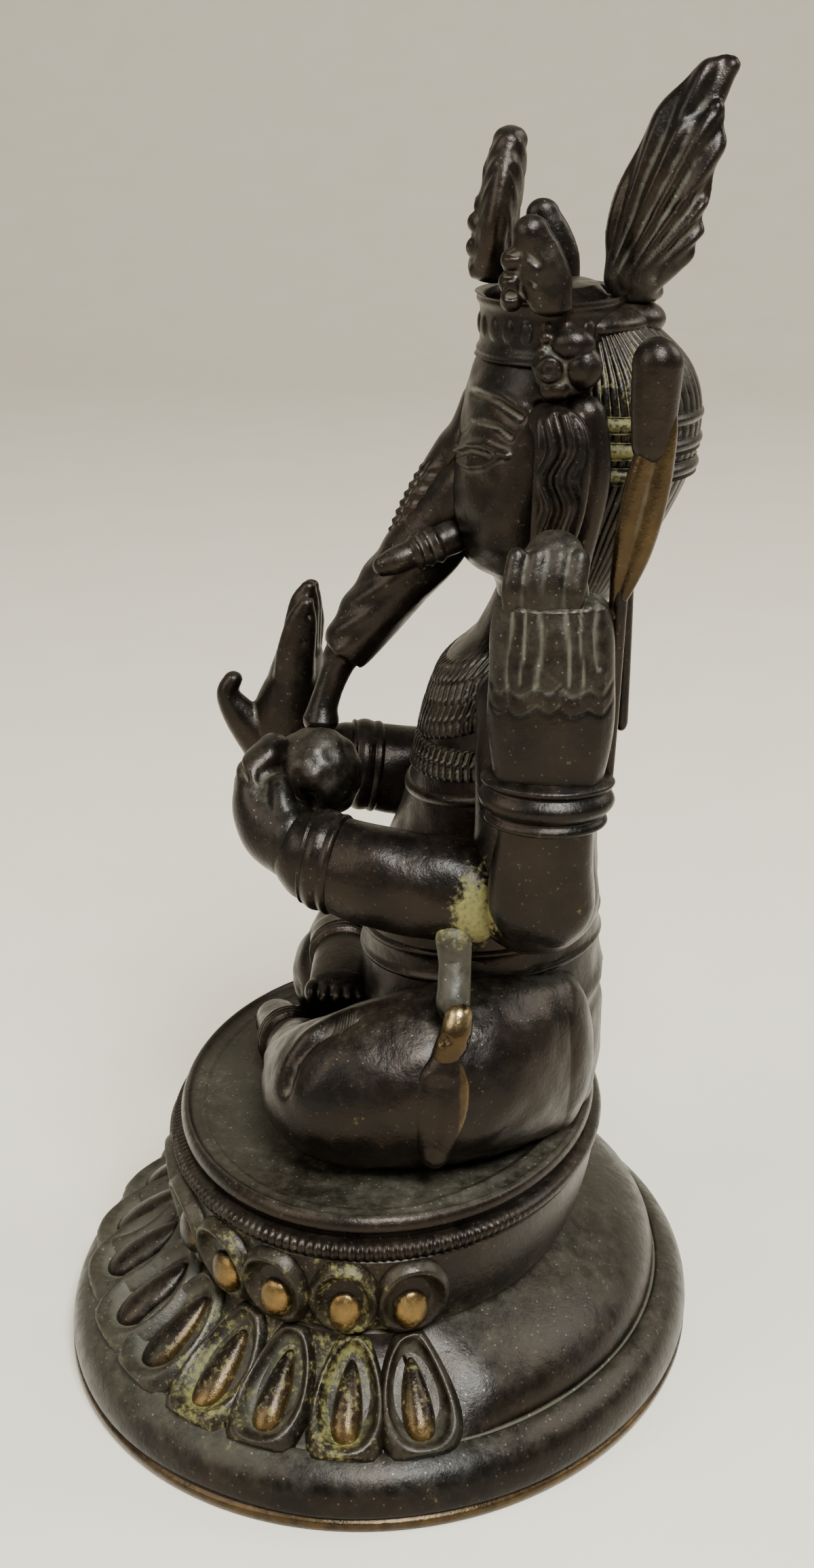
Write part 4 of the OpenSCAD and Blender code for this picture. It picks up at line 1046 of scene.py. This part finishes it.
def head_carve(p, n):
    """Eyes, lids, folds of the brow, the hollow before the ear, the cheek, and the root of the tusk."""
    rise = lines(
        p,
        ([[5, 11.2, 98.8], [9.5, 14.2, 98.8], [12.8, 16.5, 98.6], [14.9, 19.3, 97.2]], 0.55, -0.6),
        ([[5, 11.2, 100], [9.5, 14.2, 100], [12.8, 16.5, 99.8], [14.9, 19.3, 98.4]], 0.8, 0.4),
        ([[4.8, 11.1, 92.9], [8.7, 12.9, 95.2], [11.4, 14.5, 95.7], [13.7, 16.6, 95.6], [14.9, 18.1, 94.7]],
         0.42, -0.6),
        ([[5.4, 11, 91.2], [10.1, 13, 92.9], [12.6, 14.9, 93.3], [15.2, 17.8, 92.4]], 0.5, 0.75),
        ([[6.9, 11.3, 90.2], [10.9, 13.1, 90.2], [13.2, 14.9, 90.9], [14.5, 16.7, 92.1]], 0.42, 0.55),
        ([[7.4, 11.5, 91.3], [10.9, 13.2, 92.2], [13.6, 15.6, 92.1]], 0.32, -0.5))
    rise += lump(p, [10.8, 13.1, 91.5], 1.15, 0.6) + lump(p, [10.9, 13.0, 91.5], 0.4, -0.35)
    rise += chase(p, [[15, 21.6, 98.5], [14.6, 24.6, 95.2], [12.1, 26.4, 85.5], [11.3, 25.7, 79.2]], 0.8,
                  -0.8)
    rise += lump(p, [13.8, 16.2, 83.5], 4.6, 0.7) + lump(p, [12.2, 14.6, 88], 2.4, -0.45)
    rise += chase(p, [[8.2, 10.4, 84.5], [9.6, 10.8, 80.2], [9.2, 12, 77.6]], 0.9, 0.75)
    rise += chase(p, [[10.6, 11.4, 84], [11.6, 12.2, 80], [10.8, 13.6, 77.4]], 0.7, -0.5)
    rise += chase(p, [[14.5, 17, 79], [10, 13.4, 76.4]], 1.1, -0.5)
    return rise + 0.07 * np.sin(p[:, 0] * 1.2) * np.sin(p[:, 2] * 1.1)


piece("elephant_head", "dark_brass", [stack(HEAD, 250, 270)], ["head"], carve=head_carve, edge=0.28,
      paint=even(0.03, 0.04, 0.05))

# %% Trunk, tusks and ears
TRUNK = [[0, 12.2, 88.6, 6.0, 3.4, 3], [0, 10.4, 85, 6.1, 4, 5], [0, 6.8, 78.4, 5.3, 5.2, 5],
         [0.4, 2.6, 73, 4.9, 4.6, 4.6], [1.2, -1.6, 67.4, 4.3, 4, 4],
         [2.0, -4.2, 63.6, 3.7, 3.3, 3.2], [2.4, -5.0, 62.4, 2.8, 2.4, 2.2], [3.2, -6.1, 59.6, 2.1, 1.9, 2],
         [4.0, -7.0, 56.6, 2.1, 1.9, 2], [4.4, -7.3, 54.6, 2.8, 2.4, 2]]


def trunk_carve(p, n):
    """Wrinkles across the trunk: a wave along it, strongest over the front of the bend."""
    along = p[:, 2] - 0.5 * p[:, 1]
    front = np.clip(-n[:, 1] + 0.4, 0, 1)
    upper = ease(p[:, 2], 60, 64) * ease(-p[:, 2], -82, -76)
    return 0.16 * upper * front * np.sin(along * 2.1) + 0.1 * np.sin(along * 0.7 + p[:, 0])


piece("curled_trunk", "dark_brass", [limb(TRUNK, 170, 110, 16)], ["trunk"], carve=trunk_carve,
      paint=lambda p, n, h: (0.06 + 0.1 * ease(-p[:, 2], -60, -56), 0.12 + 0.2 * h, 0 * h))
TUSK = [[6.6, 10.2, 80.2, 2.2, 2.3, 2.2], [8.0, 6.6, 78.8, 1.95, 1.95, 1.95], [9.2, 3.4, 77.6, 1.8, 1.8, 1.8],
        [9.6, 1.8, 77.0, 1.4, 1.4, 1.4]]


def cuffs(u, a):
    """Three rings round the root of the tusk."""
    return 0.5 * sum(np.exp(-((u - k) / 0.035) ** 2) for k in (0.2, 0.3, 0.4)) * np.ones_like(a)


def tusk_paint(p, n, h):
    """The tip of the tusk is rubbed; its root is dark."""
    tip = ease(-p[:, 1], -4.8, -2.2)
    return 0.3 * tip, 0.15 + 0 * h, 0 * h


EAR = [[15.4, 22.6, 96.6, 2, 2.4, 2.6], [17.8, 24.6, 94.4, 1.7, 3.4, 4], [18.2, 24.4, 87.4, 1.5, 3.4, 5],
       [16.8, 22.8, 79, 1.3, 2.2, 3]]
EAR_LINE = np.array([[18.6, 22.8, 98], [19.5, 23.8, 94], [19.8, 22.2, 90.5], [19.7, 23.4, 87],
                     [19.2, 22.4, 83.5],
                     [18.2, 23.2, 80], [17.2, 22.4, 77.5]])


def ear_carve(p, n):
    """Two winding ridges with a groove between them, and a smooth roll behind."""
    wavy = smooth(EAR_LINE, 20)
    return (chase(p, wavy, 0.55, 0.8) + chase(p, wavy + [0, 2.0, 0], 0.5, 0.65)
            + chase(p, wavy + [0, 1.0, 0], 0.4, -0.45)
            + chase(p, wavy + [-0.3, -1.2, 0], 0.5, -0.4) + chase(p, wavy + [0, 3.4, 0], 0.6, -0.6))


for side, turn in SIDES:
    piece(side + "_tusk_stub", "bright_brass", [turn(limb(TUSK, 60, 44, 12, relief=cuffs))], [side + "_tusk"],
          finish="dark_brass", paint=tusk_paint)
    column = limb([[14.6, 27.4, 97, 2.2, 2.6, 3], [15.0, 28, 90, 1.9, 2.6, 4], [13.6, 26.6, 80, 1.7, 2.0, 3]],
                  50, 40, 8)
    piece(side + "_folded_ear", "dark_brass", [turn(limb(EAR, 120, 90, 14)), turn(column)], [side + "_ear"],
          carve=ear_carve, fuse=0.3, soften=2, edge=0.25, paint=even(packed=-0.3))
BROW = [[0, 12.4, 96.6, 3.4, 1.6, 2.4], [0, 11.2, 92.5, 4.4, 2.0, 3], [0, 9.2, 88.6, 3.6, 2.4, 4],
        [0, 5.2, 82, 3.4, 2.3, 3.4],
        [0, 2.4, 76.8, 2, 1.8, 2]]


def brow_carve(p, n):
    """Cross hatching between two cords."""
    x, z = p[:, 0], p[:, 2]
    inside = ease(-np.abs(x), -2.4, -2.0)
    low = ease(-z, -90, -87)
    hatch = np.cos(2.6 * (z + 0.9 * x)) * np.cos(2.6 * (z - 0.9 * x))
    cords = 0.35 * np.exp(-((np.abs(x) - 2.7) / 0.35) ** 2)
    return low * (0.3 * inside * hatch + cords + 0.12 * np.cos(3.4 * z) * (1 - inside))


piece("brow_plate", "worn_brass", [limb(BROW, 150, 110, 16)], ["brow_ornament"], carve=brow_carve,
      finish="dark_brass",
      paint=even(0.04, 0.1, 0.3))

# %% [markdown]
# ## Crown, hair and crest
# The crown is a band with leaves standing on it and a flower over each ear. The hair is drawn up in a
# bun, tied with three ribbons, with the strands running to the foot of the feathered crest.

# %% Crown
CROWN_LOW, CROWN_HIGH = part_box("crown_band")
CROWN_W = (CROWN_HIGH.x - CROWN_LOW.x) / 2 / (MM * FIG)
CROWN_Z = (CROWN_LOW.z - DECK) / (MM * FIG), (CROWN_HIGH.z - DECK) / (MM * FIG)


def hoop(w, d, y, low, high, rise, thick=1.2, sections=36, around=400):
    """An upright band: the outside runs up it with its relief, and the inside runs back down."""
    a = circle(around)[None, :]
    v = np.concatenate([np.linspace(-1, 1, sections), np.linspace(0.9, -0.9, 8)])[:, None]
    out = np.concatenate([np.ones(sections), np.zeros(8)])[:, None]
    high_at = np.where(out > 0, rise(v, a) * (1 - np.abs(v) ** 12), -thick)
    z = (low + high) / 2 + v * (high - low) / 2 + 0 * a
    return (np.stack([(w + high_at) * np.cos(a), y + (d + high_at) * np.sin(a), z], -1), "loop")


def crown_rise(v, a):
    """Two cords with a row of beads between them."""
    bead = np.clip(1 - ((np.cos(22 * a) - 1) ** 2 * 0.5 + (v / 0.34) ** 2), 0, 1) ** 0.5
    return -0.7 + 0.45 * bar(v, -0.8, 0.16) + 0.45 * bar(v, 0.8, 0.16) + 0.35 * bead


piece("beaded_crown", "worn_brass", [hoop(CROWN_W, CROWN_W - 4.2, 22.4, CROWN_Z[0], CROWN_Z[1] - 1.4,
                                          crown_rise)],
      ["crown_band"], finish="dark_brass", paint=even(packed=-0.25))


def leaf(half_w, high, thick):
    """A leaf's rows: wide at its shoulders and pointed at the top."""
    return [[0, 0, 0, half_w * 0.6, thick, 1.2], [0, 0, high * 0.3, half_w, thick * 1.05, high * 0.16],
            [0, 0, high * 0.66, half_w * 0.86, thick, high * 0.14],
            [0, 0, high * 0.88, half_w * 0.5, thick * 0.86, 2.2]]


def set_up(sheet, lean, turned, place):
    """Leans a standing sheet back, turns it about the upright axis and moves it."""
    t, f = math.radians(lean), math.radians(turned)
    x, y, z = sheet[..., 0], sheet[..., 1], sheet[..., 2]
    y, z = y * math.cos(t) - z * math.sin(t), y * math.sin(t) + z * math.cos(t)
    return np.stack([x * math.cos(f) - y * math.sin(f), x * math.sin(f) + y * math.cos(f), z], -1) + place


def front_leaf_carve(p, n):
    """A midrib, and side veins that stop short of the edge."""
    x, z = p[:, 0], p[:, 2]
    vein = np.cos(1.6 * (z - 1.3 * np.abs(x)))
    veins = 0.12 * vein * ease(-np.abs(x), -5, -4.2) * ease(np.abs(n[:, 1]), 0.3, 0.7)
    return veins + chase(p, [[0, 11, 113], [0, 14.4, 128]], 0.6, 0.3, False)


knobs = [egg(x, y, z, s, s * 0.8, s, 30, 36) for x in (-1.5, 1.5) for y, z, s in (
    (12.9, 113.8, 1.5), (12.7, 116.4, 1.55), (12.8, 119.2, 1.5), (13.2, 121.6, 1.2))]
piece("front_leaf", "worn_brass", [set_up(limb(leaf(6.2, 18.3, 2.5), 90, 90, 14), -9, 0, [0, 14.2, 113.0])]
      + knobs,
      ["front_crown_leaf"], fuse=0.26, soften=2, carve=front_leaf_carve, finish="dark_brass",
      paint=even(0.1, 0.16))


def ring(centre, radius, thick, turn=48, section=14):
    """A small round wire ring lying against the side of the figure."""
    a, b = circle(turn)[None, :], circle(section)[:, None]
    r = radius + thick * np.cos(b)
    return (np.stack([centre[0] + thick * np.sin(b) + 0 * a, centre[1] + r * np.cos(a),
                      centre[2] + r * np.sin(a)], -1), "loop")


def side_leaf_carve(p, n):
    """Grooves between the lobes and soft dents on the face."""
    rise = sum(chase(p, [[15.6, y, z], [16.6, y + 2.0, z + 0.3], [16.2, y + 3.6, z - 1.0]], 0.4, -0.4)
               for y, z in ((17.6, 116.8), (17.2, 114.2), (17.4, 111.8)))
    for centre, radius, height in (([16.4, 21.6, 117.2], 1.3, -0.35), ([16.2, 22.6, 113.2], 1.5, -0.4),
                                   ([16.3, 19.8, 119.2], 1.2, 0.3)):
        rise = rise + lump(p, centre, radius, height)
    return rise


SIDE = [[14.2, 22.8, 110.6, 1.5, 2.6, 1.4], [14.4, 22.0, 113.6, 1.8, 3.3, 3], [14.5, 20.9, 117, 1.8, 3.0, 3],
        [14.5, 20.3, 119.2, 1.6, 2.3, 2.2]]
lobes = [egg(14.7, y, z, 1.5, s, s, 30, 36) for y, z,
         s in ((18.1, 116.0, 1.5), (17.8, 113.4, 1.45), (18.0, 111.2, 1.4))]
ROSE_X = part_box("left_rosette")[0].x / (MM * FIG)
flower = [egg(ROSE_X + 0.6, 24.8, 103.4, 1.2, 4.0, 4.0, 36, 60),
          egg(ROSE_X + 1.2, 25.6, 106.2, 2.0, 2.7, 2.1, 36, 40),
          egg(ROSE_X + 1.2, 27.0, 103.4, 1.9, 2.3, 2.6, 36, 40),
          egg(ROSE_X + 1.0, 23.0, 103.2, 1.5, 2.3, 2.4, 36, 40),
          egg(ROSE_X + 1.0, 23.6, 100.6, 1.4, 2.0, 1.6, 30, 36)]
flower += [egg(ROSE_X + 0.8, 21.4 + 0.5 * abs(k - 1), 101.8 + 1.7 * k, 1.1, 0.9, 0.9) for k in range(4)]
for side, turn in SIDES:
    piece(side + "_side_leaf", "worn_brass", [turn(s) for s in [limb(SIDE, 60, 60, 12)] + lobes
                                              + [ring((15.9, 17.9, 112.0), 0.9, 0.32)]],
          [side + "_crown_leaf"], fuse=0.24, soften=2, carve=side_leaf_carve, finish="dark_brass",
          paint=even(0.1, 0.12))
    piece(side + "_flower", "worn_brass", [turn(s) for s in flower
                                           + [ring((ROSE_X + 2.3, 22.8, 103.2), 1.2, 0.36)]],
          [side + "_rosette"], fuse=0.24, soften=1, finish="dark_brass", paint=even(0.14, 0.1))

# %% Hair, ribbons and crest
BUN = [[0, 28.6, 107.4, 8.8, 5.6, 3], [0, 30.8, 100, 12.8, 10, 7], [0, 31.2, 92, 13, 10.1, 7],
       [0, 28.6, 82, 12, 8.2, 7],
       [0, 26.6, 73.6, 9.5, 5.6, 4]]


def strands(u, a):
    """46 rounded strands that run down from the foot of the crest."""
    return 0.3 * np.sqrt(np.abs(np.cos(23 * a + 2.4 * u))) * (1 - u ** 6) - 0.2


def bun_paint(p, n, h):
    """Yellow-green paste lies between the strands on the left side, above and below the ribbons."""
    side = ease(p[:, 0], 3, 8) * ease(-p[:, 1], -40, -34)
    paste = side * (0.3 + 1.2 * h) * np.exp(-((p[:, 2] - 99) / 9) ** 2)
    return 0.04 + 0 * h, 0.16 + 0.4 * h, paste


piece("drawn_up_hair", "dark_brass", [limb(BUN, 110, 506, 20, relief=strands),
                                      egg(0, 32.2, 107.6, 4.9, 4.6, 2.6, 30, 60),
                                        egg(0, 26.6, 107.4, 10.6, 8.6, 3.0, 30, 80)], ["hair_bun"],
      paint=bun_paint)
RIBBON_LOW, RIBBON_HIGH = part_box("hair_ribbon")
RIBBON_W = (RIBBON_HIGH.x - RIBBON_LOW.x) / 2 / (MM * FIG)
RIBBON_BACK = RIBBON_HIGH.y / (MM * FIG)
for k, z in enumerate((88.6, 91.8, 95)):
    narrow = 0.25 * (z == 88.6)
    piece(f"hair_ribbon_{k + 1}", "worn_brass",
          [hoop(RIBBON_W - 0.3 - narrow, 10.6 - narrow, RIBBON_BACK - 10.9 + 0.1 * (k - 2), z, z + 2.2,
                lambda v, a: 0.3 - 0.9 * v * v, 1.4, 20, 240)], ["hair_ribbon"], finish="dark_brass",
          paint=lambda p, n, h: (0.12 + 0 * h, 0.05 + 0 * h,
                                 1.2 * ease(p[:, 0], 4, 8) * ease(-p[:, 1], -39, -33) * (0.5 + 1.2 * h)))
crest_leaves = [
    limb([[0, 31.6, 112.6, 2.6, 2.9, 2.4], [-0.3, 33.6, 120, 3.4, 4.2, 4], [-0.2, 36.8, 128.4, 3.3, 4.1, 4],
          [0, 40.4, 135.2, 2.5, 2.9, 3],
          [0, 43, 138.2, 1.4, 1.5, 1.5]], 90, 60, 12),
    limb([[2.4, 33.6, 113.4, 1.7, 2.4, 2], [3.2, 36.6, 121.6, 1.9, 3.9, 4], [2.8, 39.6, 128.6, 1.7, 3.5, 3.4],
          [2.2, 41.8, 132.4, 1.2, 1.6, 1.6]], 70, 48, 10),
    limb([[2.6, 33.4, 112.6, 2.0, 2.7, 2.4], [3.9, 36.4, 117.2, 1.9, 3.8, 3.4],
          [3.7, 38.6, 121.4, 1.6, 2.7, 2.6]], 60, 48, 10)]
crest_leaves += [mirror(s) for s in crest_leaves[1:]]
crest_leaves.append(limb([[0, 33.0, 110.8, 3.9, 3.4, 1.4], [0, 32.8, 113.0, 3.6, 3.2, 2]], 24, 44, 10))


def crest_carve(p, n):
    """Veins that fan from the foot of the crest, and scallops along its back edge."""
    angle = np.arctan2(p[:, 1] - 26.5, p[:, 2] - 105)
    rise = 0.34 * np.cos(angle * 62 + 0.5) * ease(p[:, 2], 113, 118)
    rise = rise + chase(p, [[3.6, 33.4, 114.5], [4.6, 36.4, 121], [4.4, 39.2, 127], [3, 41.6, 132.8]], 0.5,
                        -0.45)
    rise = rise + chase(p, [[4.6, 35, 113], [5.2, 38, 118], [4.6, 39.8, 122.6]], 0.5, -0.45)
    return rise * (1 - 0.3 * (np.abs(p[:, 0]) < 0.6))


piece("feathered_crest", "dark_brass", crest_leaves, ["crest"], fuse=0.32, soften=2, carve=crest_carve,
      paint=lambda p, n, h: (0.06 * ease(p[:, 2], 120, 136), 0.04 + 0.3 * ease(-p[:, 2], -118, -112), 0 * h),
      edge=0.36)

# %% [markdown]
# ## Things held, and the scarf
# The left rear hand holds an axe whose blade is still bright, and the right rear hand a goad. The
# scarf falls from each arm to the seat: a strut, a knot of bright brass and a pleated tail.

# %% Axe and goad
def blade_carve(p, n):
    """The face is dished between two narrow raised edges."""
    r = smooth([[29.8, 37, 99.6], [29.9, 36.4, 97], [30, 35.2, 92], [29.8, 33.8, 85.5], [29.4, 32.4, 80],
                [29, 31.8, 77]], 24)
    return chase(p, r, 1.2, -0.8, False)


shaft = limb([[27.2, 31.0, 52, 0.8, 0.9, 1.2], [27.2, 31.6, 62, 0.8, 0.9, 2], [27.6, 32.2, 78, 0.9, 1.0, 2]],
             40, 30, 8)
blade = limb([[27.8, 31.6, 76.5, 1.0, 0.8, 1.4], [27.9, 32.4, 80, 1.4, 1.5, 3],
              [28.1, 33.8, 85.5, 1.7, 2.4, 4], [28.2, 35.2, 92, 1.8, 2.6, 4],
              [28.2, 36.5, 97.6, 1.7, 1.9, 2.4], [28.1, 37.2, 100.4, 1.2, 1.1, 1.2]], 120, 96, 12)
piece("axe_blade", "bright_brass", [blade], ["axe"], carve=blade_carve, edge=0.8,
      paint=lambda p, n, h: (0.3 * ease(np.abs(n[:, 1]), 0.6, 0.95) - 0.1, 0 * h, 0 * h))
piece("axe_top", "bright_brass", [limb([[27.7, 35.4, 96.5, 2.4, 2.4, 2.6], [27.6, 35.6, 101, 2.7, 2.8, 3],
                                        [27.6, 35.8, 105.6, 2.9, 3, 3.2]], 50, 60, 14), shaft],
      ["axe"], finish="dark_brass", paint=even(0.12, 0.06))
goad_sheets = [mirror(limb([[27.4, 32.6, 46, 1.0, 1.0, 1.6], [27.4, 32.8, 60, 1.0, 1.0, 2],
                            [27.6, 32.8, 80, 1.0, 1.0, 2],
                            [27.6, 32, 94, 1.4, 1.6, 2.4]], 70, 30, 8)),
               mirror(limb([[27.6, 33, 84, 1.3, 1.6, 1.6], [27.6, 35.4, 86.8, 1.1, 1.3, 1.3],
                            [27.6, 36.8, 86.4, 0.9, 0.9, 0.9]], 30, 24, 6))]
piece("elephant_goad", "bright_brass", goad_sheets, ["goad"], fuse=0.26, soften=1, finish="dark_brass",
      paint=even(0.1, 0.0))

# %% Scarf
def scarf_carve(p, n):
    """The tail is hollowed along its middle and has a rim; the strut is pitted."""
    tail = ease(-p[:, 2], -17.5, -15.5)
    fold = chase(p, [[34.8, 11.7, 16.4], [35.4, 11.2, 11], [34.6, 10.8, 7]], 1.5, -0.7) * tail
    return fold + 0.05 * np.sin(p[:, 2] * 2.4) * np.sin(p[:, 1] * 2.1) * (1 - tail)


def scarf_paint(p, n, h):
    """The strut is grey with dust and yellow at its top; the back edge of the tail is rubbed."""
    strut = ease(p[:, 2], 23, 26)
    edge = ease(p[:, 1] - 11.4, 1.8, 3.0) * (1 - strut)
    return 0.6 * edge, 0.46 * strut, 0.5 * ease(p[:, 2], 30.5, 34)


def knot_paint(p, n, h):
    """The top of the knot is polished; its underside is dark."""
    top = ease(n[:, 2] + 0.5 * n[:, 0], -0.2, 0.7)
    return 0.8 * top * ease(p[:, 2], 22, 24.4) - 0.45 * ease(-p[:, 2], -22.5, -20.5), 0.0 * h, 0 * h


STRUT = [[27, 12.6, 33, 2, 2.4, 2], [27.4, 12.8, 29.4, 1.9, 2.1, 2.4], [29.8, 12.8, 25.2, 2.0, 2.2, 2.6]]
TAIL = [[32.3, 12.2, 18.6, 1.5, 2.0, 2], [33.0, 11.8, 15.5, 1.7, 3.5, 3], [33.7, 11.2, 11, 1.7, 3.6, 3.4],
        [33.2, 10.8, 5.6, 1.5, 1.9, 2]]
knot = [limb([[31.0, 13.6, 23.8, 2.3, 1.9, 2.2], [32.0, 13.2, 21.6, 2.2, 2.1, 2.4],
              [32.2, 12.2, 19.2, 1.8, 1.9, 1.8]], 50, 44, 12)]
for side, turn in SIDES:
    piece(side + "_scarf_tail", "worn_brass", [turn(limb(STRUT, 50, 50, 10)), turn(limb(TAIL, 90, 80, 12))],
          [side + "_scarf"],
          fuse=0.26, soften=2, carve=scarf_carve, finish="dark_brass", paint=scarf_paint)
    piece(side + "_scarf_tie", "bright_brass", [turn(s) for s in knot], [side + "_scarf_knot"], fuse=0.24,
          soften=3,
          carve=lambda p, n: chase(p, [[34, 12, 22], [32.5, 15, 21.4], [34, 10.6, 21.4]], 0.5, -0.4),
          paint=knot_paint)

# %% [markdown]
# The pieces made are counted, with the points in them. The modelled surfaces are meant to stay within the
# imported ones.

# %% Count the pieces and finish
print("pieces made:", len(made_pieces), "with", sum(count for _, count in made_pieces), "points")
